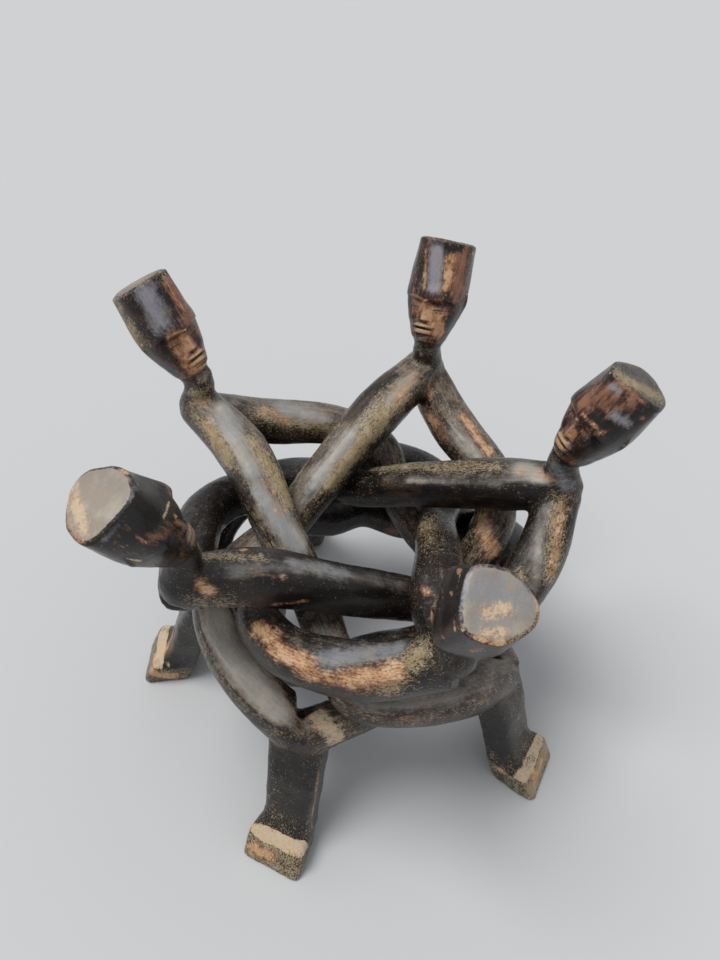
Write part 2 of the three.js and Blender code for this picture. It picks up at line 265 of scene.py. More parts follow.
def polar(turn, reach, height):
    """Points at turns (degrees) round the middle line, reaches from it and heights, as rows of x, y, z."""
    turn, reach, height = np.broadcast_arrays(np.radians(turn), reach, height)
    return np.stack([reach * np.cos(turn), reach * np.sin(turn), height], axis=-1).astype(float)


def smoothstep(low, high, x):
    """Zero below low, one above high, and three t squared less two t cubed between them."""
    t = np.clip((x - low) / (high - low), 0.0, 1.0)
    return t * t * (3.0 - 2.0 * t)


def fall(low, high, x):
    """One below low and zero above high, as the smoothstep turned over."""
    return 1 - smoothstep(low, high, x)


def bump(x, half):
    """A hump of height one at x = 0 that falls to nothing at the half width: (1 - (x/half)^2)^2."""
    return np.clip(1.0 - (x / half) ** 2, 0.0, 1.0) ** 2


def spline(points, t):
    """Centripetal Catmull-Rom curve through the points: knots are spaced by the square root of the chord,
    and each stretch is the cubic whose end slopes are the knot-weighted differences of its neighbours."""
    points = np.asarray(points, float)
    last = len(points) - 1
    padded = np.vstack([2 * points[0] - points[1], points, 2 * points[-1] - points[-2]])
    k = np.clip((t * last).astype(int), 0, last - 1)
    w = (t * last - k)[:, None]
    p0, p1, p2, p3 = (padded[k + i] for i in range(4))
    d0, d1, d2 = (np.sqrt(np.linalg.norm(b - a, axis=1))[:, None] for a, b in ((p0, p1), (p1, p2), (p2, p3)))
    m1 = ((p1 - p0) / d0 - (p2 - p0) / (d0 + d1) + (p2 - p1) / d1) * d1
    m2 = ((p2 - p1) / d1 - (p3 - p1) / (d1 + d2) + (p3 - p2) / d2) * d1
    c2 = 3 * (p2 - p1) - 2 * m1 - m2
    c3 = 2 * (p1 - p2) + m1 + m2
    return p1 + w * (m1 + w * (c2 + w * c3))


def blend_stations(values, t):
    """Widths or depths along a limb: each stretch goes to the next station's value on a smoothstep."""
    values = np.asarray(values, float)
    last = len(values) - 1
    k = np.clip((t * last).astype(int), 0, last - 1)
    w = smoothstep(0.0, 1.0, t * last - k)
    return values[k] * (1 - w) + values[k + 1] * w


def lattice(cell):
    """Even random numbers from 0 to 1 for whole-number cells, from a multiply and shift of their indices."""
    i = cell.astype(np.int64)
    h = (i[..., 0] * 73856093) ^ (i[..., 1] * 19349663) ^ (i[..., 2] * 83492791)
    h = (h ^ (h >> 13)) * 1274126177
    return ((h ^ (h >> 16)) & 0xFFFF) / 65535.0


def value_noise(p):
    """Smooth noise from 0 to 1: random values on a unit lattice, mixed by smoothstep along each axis."""
    base = np.floor(p)
    f = p - base
    f = f * f * (3 - 2 * f)
    total = np.zeros(len(p))
    for dx in (0, 1):
        for dy in (0, 1):
            for dz in (0, 1):
                weight = ((f[:, 0] if dx else 1 - f[:, 0]) * (f[:, 1] if dy else 1 - f[:, 1])
                          * (f[:, 2] if dz else 1 - f[:, 2]))
                total += weight * lattice(base + (dx, dy, dz))
    return total


def scallops(p):
    """Squared distance to the nearest jittered centre of unit cells: shallow bowls that meet in ridges."""
    base = np.floor(p)
    best = np.full(len(p), np.inf)
    for dx in (-1, 0, 1):
        for dy in (-1, 0, 1):
            for dz in (-1, 0, 1):
                cell = base + (dx, dy, dz)
                jitter = np.stack([lattice(cell + s) for s in (11, 37, 71)], axis=-1)
                best = np.minimum(best, ((cell + 0.15 + 0.7 * jitter - p) ** 2).sum(axis=1))
    return best


def grid_faces(rings, sides):
    """Quads between neighbouring rings, and one face over each end."""
    i, j = np.meshgrid(np.arange(rings - 1), np.arange(sides), indexing="ij")
    a = i * sides + j
    b = i * sides + (j + 1) % sides
    quads = np.stack([a, b, b + sides, a + sides], axis=-1).reshape(-1, 4).tolist()
    first = list(range(sides))[::-1]
    final = list(range((rings - 1) * sides, rings * sides))
    return quads + [first, final]


def limb_route(figure, crossing):
    """Control points, widths and depths of a limb, from the fork of the neck to the knee."""
    table = CROSSING_LIMB if crossing else WRAPPING_LIMB
    drop = 0 if crossing else FORK_DROP
    fork = polar(figure["neck_turn"], FORK_REACH + figure["neck_out"], FORK_HEIGHT - drop)
    knee = polar(180 + figure["leg_turn"], KNEE_REACH, KNEE_HEIGHT)
    points = np.vstack([fork, [polar(*row[:3]) for row in table], knee])
    widths = [FORK_WIDTH, *(row[3] for row in table), KNEE_WIDTH]
    depths = [FORK_WIDTH, *(row[4] for row in table), KNEE_DEPTH]
    return points, widths, depths


def limb_frames(figure, crossing, count):
    """Centres along a limb with its tangents, level side directions, risers, half widths and half depths."""
    points, widths, depths = limb_route(figure, crossing)
    t = np.linspace(0.0, 1.0, count)
    centre = spline(points, t)
    step = 1e-4
    along = spline(points, np.clip(t + step, 0, 1)) - spline(points, np.clip(t - step, 0, 1))
    along /= np.linalg.norm(along, axis=1, keepdims=True)
    side = np.cross([0.0, 0.0, 1.0], along)
    side /= np.linalg.norm(side, axis=1, keepdims=True)
    rise = np.cross(along, side)
    return centre, along, side, rise, blend_stations(widths, t) / 2, blend_stations(depths, t) / 2


def superellipse(angle, a, b, power):
    """Radius of the curve |x/a|^n + |y/b|^n = 1 in the direction of the angle."""
    return ((np.abs(np.cos(angle)) / a) ** power + (np.abs(np.sin(angle)) / b) ** power) ** (-1.0 / power)


def around(sides):
    """Angles of the middles of equal steps round a ring."""
    return (np.arange(sides) + 0.5) / sides * 2 * np.pi


def limb_surface(figure, crossing, swell):
    """A superellipse section carried along the limb: centre + r cos(v) side + r sin(v) rise."""
    centre, _, side, rise, a, b = limb_frames(figure, crossing, LIMB_RINGS)
    v = around(LIMB_SIDES)
    r = superellipse(v[None, :], a[:, None] + swell, b[:, None] + swell, LIMB_SQUARENESS)
    points = (centre[:, None] + (r * np.cos(v))[..., None] * side[:, None]
              + (r * np.sin(v))[..., None] * rise[:, None])
    return points.reshape(-1, 3), grid_faces(LIMB_RINGS, LIMB_SIDES)


def level_surface(rows, sides, power):
    """Level superellipse rings stacked in height: (reach + a cos v, b sin v, height) for each row."""
    reach, height, a, b = (np.array([row[i] for row in rows], float)[:, None] for i in range(4))
    v = around(sides)
    r = superellipse(v[None, :], a, b, power)
    points = np.stack([reach + r * np.cos(v), r * np.sin(v), height + 0 * v], axis=-1)
    return points.reshape(-1, 3), grid_faces(len(rows), sides)


def turned(points, degrees):
    """The points turned about +Z."""
    c, s = math.cos(math.radians(degrees)), math.sin(math.radians(degrees))
    return points @ np.array([[c, s, 0], [-s, c, 0], [0, 0, 1]])


def neck_surface(figure):
    """A round neck, waisted between the chin and the fork, as level rings."""
    t = np.linspace(0.0, 1.0, NECK_RINGS)
    height = (FORK_HEIGHT - FORK_DROP) * (1 - t) + (NECK_TOP + NECK_LAP) * t
    half = np.interp(t, *zip(*NECK_PROFILE))
    reach = np.interp(t, [0, 0.25, 0.7, 1], [FORK_REACH, FORK_REACH, NECK_REACH + 1, NECK_REACH + 1])
    rows = list(zip(reach, height, half, half))
    points, faces = level_surface(rows, NECK_SIDES, NECK_SQUARENESS)
    return turned(points + [figure["neck_out"], 0, 0], figure["neck_turn"]), faces


def leg_surface(figure):
    """A slab that tapers from the knee to the ankle, with a ledge over the toes and a flat sole."""
    heel = TOE_REACH - SOLE_LENGTH
    toe_top = TOE_REACH - TOE_SLOPE
    knee_inner = KNEE_REACH - LEG_DEPTH / 2
    ankle_inner = heel - HEEL_OVERHANG
    shin_inner = (ankle_inner + knee_inner) / 2
    slope = HEEL_OVERHANG / ANKLE_HEIGHT
    knots = (
        # height, inner, outer, width, squareness, share of the foot's turn, heel's share of the toe's width
        (0.0, heel + 0.5, TOE_REACH - 0.8, SOLE_WIDTH - 1.4, 9, 1.0, HEEL_SHARE),
        (0.9, heel, TOE_REACH, SOLE_WIDTH, 9, 1.0, HEEL_SHARE),
        (TOE_HEIGHT - 0.8, heel - slope * TOE_HEIGHT, TOE_REACH - TOE_SLOPE, SOLE_WIDTH - 1.0, 9, 1.0,
         HEEL_SHARE),
        (TOE_HEIGHT + 0.6, heel - slope * TOE_HEIGHT, toe_top - 1.6, SOLE_WIDTH - 2.4, 9, 1.0, HEEL_SHARE),
        (LEDGE_HEIGHT - 0.5, heel - slope * LEDGE_HEIGHT, toe_top - LEDGE_DEPTH, ANKLE_WIDTH + 4, 7,
         0.9, 0.9),
        (LEDGE_HEIGHT + 1.5, heel - slope * LEDGE_HEIGHT, toe_top - LEDGE_DEPTH - 3.5, ANKLE_WIDTH + 2.5, 6,
         0.88, 0.95),
        (ANKLE_HEIGHT, ankle_inner, ankle_inner + LEG_DEPTH, ANKLE_WIDTH + 1, 5, 0.7, 1.0),
        ((KNEE_HEIGHT + ANKLE_HEIGHT) / 2, shin_inner, shin_inner + LEG_DEPTH, (LEG_WIDTH + ANKLE_WIDTH) / 2,
         5, 0.3, 1.0),
        (KNEE_HEIGHT - 8, knee_inner, knee_inner + LEG_DEPTH - 1, LEG_WIDTH - 1, 5, 0.0, 1.0),
        (KNEE_HEIGHT + 3, knee_inner + 1, knee_inner + LEG_DEPTH - 3, LEG_WIDTH - 9, 4, 0.0, 1.0),
    )
    columns = [np.array(column) for column in zip(*knots)]
    z = np.unique(np.concatenate([np.linspace(0, columns[0][-1], 90), columns[0]]))
    low, high, wide, square, part, heel_share = (np.interp(z, columns[0], c)[:, None] for c in columns[1:])
    middle = heel + SOLE_LENGTH / 2
    v = around(LEG_SIDES)
    r = superellipse(v[None, :], (high - low) / 2, wide / 2, square)
    forward = r * np.cos(v) / (high - low) + 0.5
    x = low + forward * (high - low) - middle
    y = r * np.sin(v) * (heel_share + (1 - heel_share) * forward)
    turn = np.radians(figure["foot_turn"]) * part
    points = np.stack([x * np.cos(turn) - y * np.sin(turn) + middle, x * np.sin(turn) + y * np.cos(turn),
                       z[:, None] + 0 * v], axis=-1)
    return turned(points.reshape(-1, 3), 180 + figure["leg_turn"]), grid_faces(len(z), LEG_SIDES)


def notch_surface(figure):
    """Upright wedge over the knee, its edge outwards, that parts the two limbs."""
    length = KNEE_REACH - NOTCH_REACH + KNEE_WIDTH + LEG_DEPTH
    spread = length * math.tan(math.radians(NOTCH_ANGLE))
    x = np.array([NOTCH_REACH, NOTCH_REACH - length, NOTCH_REACH - length] * 2, float)
    y = np.array([0.0, spread, -spread] * 2)
    z = np.repeat([NOTCH_FLOOR, NOTCH_FLOOR + 2 * KNEE_DEPTH], 3)
    faces = [[0, 2, 1], [3, 4, 5], [0, 1, 4, 3], [1, 2, 5, 4], [2, 0, 3, 5]]
    return turned(np.stack([x, y, z], axis=1), 180 + figure["leg_turn"]), faces


def head_rows(figure):
    """Rows up the head: height over the chin, half width, depth in front and behind, how square the face
    is, how far the section has changed over to the crown's outline, and how far it draws in at the rim."""
    w, d = HEAD_WIDTH / 2, HEAD_DEPTH / 2
    neck = NECK_WIDTH / 2
    brow, length = figure["brow_square"], figure["head_length"]
    top = length - BROW_HEIGHT
    return np.array([
        (-figure["chin_rise"], neck, neck, neck, NECK_SQUARENESS, 0.0, 0.0),
        (-1.0, neck, neck, neck, NECK_SQUARENESS, 0.0, 0.0),
        (3.0, w * 0.54, d * 0.66, d * 0.55, 2.6, 0.0, 0.0),
        (7.0, w * 0.61, d * 0.69, d * 0.62, 2.8, 0.0, 0.0),
        (10.0, w * 0.66, d * 0.70, d * 0.67, 2.8, 0.0, 0.0),
        (15.0, w * 0.76, d * 0.73, d * 0.78, 3.0, 0.0, 0.0),
        (24.0, w * 0.90, d * 0.76, d * 0.90, 3.0 + 0.3 * (brow - 3), 0.0, 0.0),
        (BROW_HEIGHT, w * 0.96, d * 0.84 + 0.6, d * 0.94, brow, 0.05, 0.0),
        (BROW_HEIGHT + top * 0.35, w, d * 0.95, d, brow, 0.4, 0.0),
        (BROW_HEIGHT + top * 0.7, w, d * 0.98, d, 4.0, 0.8, 0.0),
        (length - 2.5, w, d, d, 4.0, 1.0, 0.0),
        (length - 1.2, w, d, d, 4.0, 1.0, 0.25),
        (length, w, d, d, 4.0, 1.0, 1.5),
    ])


def crown_radius(turn, width):
    """Radius of the crown's outline in a direction: the power mean of its flat sides."""
    total = sum((np.clip(np.cos(turn - math.radians(flat)), 0, None) / (share * width)) ** CROWN_SHARPNESS
                for flat, share in CROWN_FLATS)
    return total ** (-1 / CROWN_SHARPNESS)


def head_section(figure, height):
    """Half width, front and back depth, squareness, crown share and inset at a height: the mean of the
    rows' straight-line values a little below it, at it and a little above it."""
    rows, length = head_rows(figure), figure["head_length"]
    gap = ROW_SOFTNESS * smoothstep(12, 18, height) * fall(length - 9, length - 4.5, height)
    return [sum(np.interp(height + gap * way, rows[:, 0], rows[:, i]) for way in (-1, 0, 1)) / 3
            for i in range(1, 7)]


def head_radius(figure, angle, height):
    """Radius of the head in a direction (0 is the face) at a height: a superellipse, squarer in front, cut
    by two slanting flats beside the forehead's facet, that gives way to the crown's outline higher up."""
    w, front, back, power, crown, inset = head_section(figure, height)
    forward = np.cos(angle) > 0
    face = superellipse(angle, np.where(forward, front, back), w, np.where(forward, power, 2.0))
    slant = math.radians(SLANT_TURN)
    facet = figure["facet"] * smoothstep(6, BROW_HEIGHT, height) + CHIN_FACET * fall(6, BROW_HEIGHT, height)
    reach = front * math.cos(slant) + facet * math.sin(slant)
    total = (1 / face) ** SLANT_SHARPNESS
    for sign in (-1, 1):
        total = total + (np.clip(np.cos(angle - sign * slant), 0, None) / reach) ** SLANT_SHARPNESS
    rim = crown_radius(angle + math.radians(figure["crown_turn"]), figure["crown_width"])
    return total ** (-1 / SLANT_SHARPNESS) * (1 - crown) + (rim - CROWN_MARGIN) * crown - inset


def head_matrix(figure):
    """Place of a head, from its own axes (face towards -X, up from the chin) to the figure's."""
    def turn(key, axis):
        return Matrix.Rotation(math.radians(figure[key]), 4, axis)
    place = Matrix.Translation((NECK_REACH + figure["neck_out"], 0, NECK_TOP - HEAD_SINK))
    lift = Matrix.Translation((0, 0, figure["chin_rise"]))
    return (turn("neck_turn", "Z") @ place @ turn("head_lean", "Y") @ turn("head_sway", "X")
            @ turn("head_turn", "Z") @ lift)


def head_up(figure):
    """Direction from the chin to the crown, as the figure stands."""
    return np.array(head_matrix(figure))[:3, 2]


def head_surface(figure):
    """Rings of the head's radius stacked from the neck to the crown."""
    z = np.linspace(-figure["chin_rise"], figure["head_length"], HEAD_RINGS)[:, None]
    v = (around(HEAD_SIDES) - np.pi)[None, :]
    r = head_radius(figure, v + 0 * z, z + 0 * v)
    points = np.stack([-r * np.cos(v), r * np.sin(v), z + 0 * v], axis=-1).reshape(-1, 3)
    matrix = np.array(head_matrix(figure))
    return points @ matrix[:3, :3].T + matrix[:3, 3], grid_faces(HEAD_RINGS, HEAD_SIDES)


def joined_mesh(name, surfaces):
    """One mesh, in millimetres, of several closed surfaces whose faces are made to point outwards."""
    points, faces, start = [], [], 0
    for p, f in surfaces:
        points.append(p)
        faces += [[i + start for i in face] for face in f]
        start += len(p)
    mesh = bpy.data.meshes.new(name)
    mesh.from_pydata(np.vstack(points).tolist(), [], faces)
    work = bmesh.new()
    work.from_mesh(mesh)
    bmesh.ops.recalc_face_normals(work, faces=work.faces)
    work.to_mesh(mesh)
    work.free()
    return mesh


def placed(name, data):
    """New object of this data in the scene."""
    made = bpy.data.objects.new(name, data)
    bpy.context.scene.collection.objects.link(made)
    return made


def changed(mesh, kind, **settings):
    """The mesh after one modifier."""
    piece = placed(mesh.name, mesh)
    change = piece.modifiers.new(kind.lower(), kind)
    for key, value in settings.items():
        setattr(change, key, value)
    made = bpy.data.meshes.new_from_object(piece.evaluated_get(bpy.context.evaluated_depsgraph_get()))
    bpy.data.objects.remove(piece)
    bpy.data.meshes.remove(mesh)
    return made


def carved_skin(name, surfaces, cutter, cell):
    """One even skin over the overlapping surfaces, less the cutter."""
    skin = changed(joined_mesh(name, surfaces), "REMESH", mode="VOXEL", voxel_size=cell)
    tool = placed("cutter", joined_mesh("cutter", [cutter]))
    skin = changed(skin, "BOOLEAN", operation="DIFFERENCE", solver="EXACT", object=tool)
    cutter_mesh = tool.data
    bpy.data.objects.remove(tool)
    bpy.data.meshes.remove(cutter_mesh)
    return changed(skin, "REMESH", mode="VOXEL", voxel_size=cell)


def finer(mesh, chosen):
    """Faces of the mesh with all corners chosen, cut in four."""
    work = bmesh.new()
    work.from_mesh(mesh)
    work.verts.ensure_lookup_table()
    edges = [edge for edge in work.edges if chosen[edge.verts[0].index] and chosen[edge.verts[1].index]]
    bmesh.ops.subdivide_edges(work, edges=edges, cuts=1, use_grid_fill=True)
    work.to_mesh(mesh)
    work.free()


def read(mesh, what, key, width, kind=np.float64):
    """An array of a mesh collection's property, one row per element."""
    collection = getattr(mesh, what)
    out = np.zeros(len(collection) * width, np.float32 if kind is np.float64 else kind)
    collection.foreach_get(key, out)
    return out.astype(kind).reshape(-1, width)


def smoothed(values, edges, rounds, share):
    """Each value moved by a share towards the mean of its neighbours, for some rounds."""
    count = len(values)
    degree = np.bincount(edges.ravel(), minlength=count)[:, None]
    for _ in range(rounds):
        total = np.zeros_like(values)
        for axis in range(values.shape[1]):
            total[:, axis] = (np.bincount(edges[:, 0], values[edges[:, 1], axis], count)
                              + np.bincount(edges[:, 1], values[edges[:, 0], axis], count))
        values = values + share * (total / degree - values)
    return values


def normals_of(points, mesh):
    """Vertex normals once the mesh has these points."""
    mesh.vertices.foreach_set("co", points.astype(np.float32).ravel())
    mesh.update()
    return read(mesh, "vertex_normals", "vector", 3)


def limb_coordinates(figure, points):
    """For every point the nearer limb's section coordinates: across, up and along."""
    best = np.full(len(points), np.inf)
    out = np.zeros((len(points), 3))
    for crossing in (True, False):
        centre, along, side, rise, _, _ = limb_frames(figure, crossing, LIMB_STATIONS)
        run = np.concatenate([[0], np.cumsum(np.linalg.norm(np.diff(centre, axis=0), axis=1))])
        index = np.concatenate([((chunk[:, None] - centre[None]) ** 2).sum(-1).argmin(1)
                                for chunk in np.array_split(points, CHUNKS)])
        offset = points - centre[index]
        near = np.linalg.norm(offset, axis=1)
        local = np.stack([(offset * side[index]).sum(1), (offset * rise[index]).sum(1),
                          run[index] + (offset * along[index]).sum(1)], axis=1)
        closer = near < best
        best = np.where(closer, near, best)
        out[closer] = local[closer]
    return out


def head_coordinates(figure, points):
    """Points in a head's own axes: forward of its axis, sideways, and up from the chin."""
    inverse = np.array(head_matrix(figure).inverted())
    local = points @ inverse[:3, :3].T + inverse[:3, 3]
    return -local[:, 0], local[:, 1], local[:, 2]


def brow_line(side):
    """Height of the lower edge of the brow, a shallow V that rises away from the nose."""
    return BROW_HEIGHT - 1.6 + 0.30 * side - 0.011 * side ** 2


def face_relief(forward, across, height, sizes):
    """How far the face stands forward, where it is pale with painted highlights, and where painted shade
    lies in its grooves: the sum of humps for brow, nose, lids, cheeks, lips and chin, less the hollows of
    the eyes."""
    side = np.abs(across)
    frontal = smoothstep(0.0, 5.0, forward)
    above = smoothstep(-0.4, 0.5, height - brow_line(side))
    fade = fall(BROW_HEIGHT + 2, BROW_HEIGHT + 13, height)
    brow = sizes.brow / MM * above * fade * fall(16, 21, side)
    bridge = (BROW_HEIGHT - 0.5 - height) / (BROW_HEIGHT - 0.5 - NOSE_BASE)
    on_nose = smoothstep(-0.05, 0.04, bridge) * fall(0.97, 1.05, bridge)
    nose_half = 2.6 + 2.6 * np.clip(bridge, 0, 1)
    ridge = np.clip(1 - side / nose_half, 0, 1)
    nose = sizes.nose / MM * (0.45 + 0.55 * np.clip(bridge, 0, 1)) * on_nose * ridge ** 0.8
    slant = height - (BROW_HEIGHT - 5.2 + 0.10 * (side - 8))
    socket = bump(side - 8.5, 8.5) * bump(slant - 0.6, 5.2)
    lid = bump(side - 8.2, 6.6) * bump(slant + 0.6, 2.6)
    slit = bump(side - 8.2, 5.6) * bump(slant + 0.9, 0.7)
    eyes = 1.5 * lid - 1.2 * slit - 1.3 * socket
    upper = bump(side, 9.5) ** 0.4 * smoothstep(MOUTH_HEIGHT - 0.1, MOUTH_HEIGHT + 0.7, height) \
        * fall(MOUTH_HEIGHT + 1.0, MOUTH_HEIGHT + 5.2, height)
    lower = bump(side, 8.0) ** 0.4 * smoothstep(MOUTH_HEIGHT - 4.4, MOUTH_HEIGHT - 3.6, height) \
        * fall(MOUTH_HEIGHT - 1.6, MOUTH_HEIGHT - 0.1, height)
    chin = bump(side, 6.5) ** 0.5 * smoothstep(0.2, 1.0, height) * fall(2.4, 4.4, height)
    lips = sizes.lips / MM * (upper + 0.85 * lower + 0.5 * chin)
    cheeks = 1.1 * bump(side - 11.5, 7.5) * bump(height - (NOSE_BASE + 3), 7)
    relief = (brow + nose + eyes + lips + cheeks) * frontal
    under_brow = height - brow_line(side)
    # Painted highlight along the brow's edge, and painted shade in a band under the brow, clear of the nose.
    lit = bump(under_brow - 1.2, 1.8) * fall(10, 15, side)
    shaded = bump(under_brow + 1.4, 1.8) * smoothstep(1.5, 4, side) * fall(13, 17, side)
    # Pale: painted highlights on the lips, chin, lids, nose ridge and brow edge.
    pale = frontal * np.clip(
        1.1 * (upper + lower + 0.8 * chin) + 0.6 * lid + 0.6 * on_nose * ridge + 0.45 * lit, 0, 1)
    mouth = bump(height - MOUTH_HEIGHT, 0.9) + bump(height - MOUTH_HEIGHT + 4.6, 0.9)
    # Painted shade in the eye slits, under the brow, along the mouth and beside the nose.
    groove_shade = frontal * np.clip(
        slit + 0.8 * shaded + bump(side, 9) * mouth + 0.5 * bump(side - 7, 3) * on_nose, 0, 1)
    return relief, pale, groove_shade, frontal


def ear_relief(forward, across, height, sizes):
    """Slanting ridge on each side of the head, just behind its widest line."""
    lean = forward + 3.0 - 0.30 * (height - BROW_HEIGHT)
    ridge = bump(lean, 2.2) * bump(height - BROW_HEIGHT - 3, 9.0) * smoothstep(8, 14, np.abs(across))
    return sizes.ears / MM * ridge, ridge


def convexity(points, normals, edges, rounds):
    """How far a point stands out of its surroundings, in millimetres, after rounds of smoothing."""
    return ((points - smoothed(points, edges, rounds, RIDGE_SHARE)) * normals).sum(axis=1)


# Camera of the photograph, in millimetres from the weave's middle line, and in degrees. Near clip is in
# metres, and the photograph's width and height in pixels.
TARGET = (-3.4, 160.2, 52.0)
DISTANCE = 718.8
PITCH = 45.61
YAW = 0.16
ROLL = 3.02
LENS = 20.0
SENSOR = 24.0
NEAR_CLIP = 0.01
PHOTO_WIDTH = 720
PHOTO_HEIGHT = 960


def camera_matrix():
    """Camera that looks at the target from the south, tipped down by the pitch and rolled."""
    target = Matrix.Rotation(math.radians(YAW), 4, "Z") @ Vector(TARGET)
    pitch = math.radians(PITCH)
    back = Vector((0, -math.cos(pitch), math.sin(pitch)))
    back.rotate(Matrix.Rotation(math.radians(YAW), 3, "Z"))
    place = (target + back * DISTANCE + Vector(MIDDLE)) * MM
    return (Matrix.Translation(place) @ Matrix.Rotation(math.radians(YAW), 4, "Z")
            @ Matrix.Rotation(math.radians(90 - PITCH), 4, "X") @ Matrix.Rotation(math.radians(ROLL), 4, "Z"))


def photo_ray(x, y):
    """Start and direction of the sight line through a pixel of the photograph."""
    scale = SENSOR / PHOTO_HEIGHT
    local = Vector(((x - PHOTO_WIDTH / 2) * scale, (PHOTO_HEIGHT / 2 - y) * scale, -LENS))
    matrix = camera_matrix()
    return matrix.translation, (matrix.to_3x3() @ local).normalized()


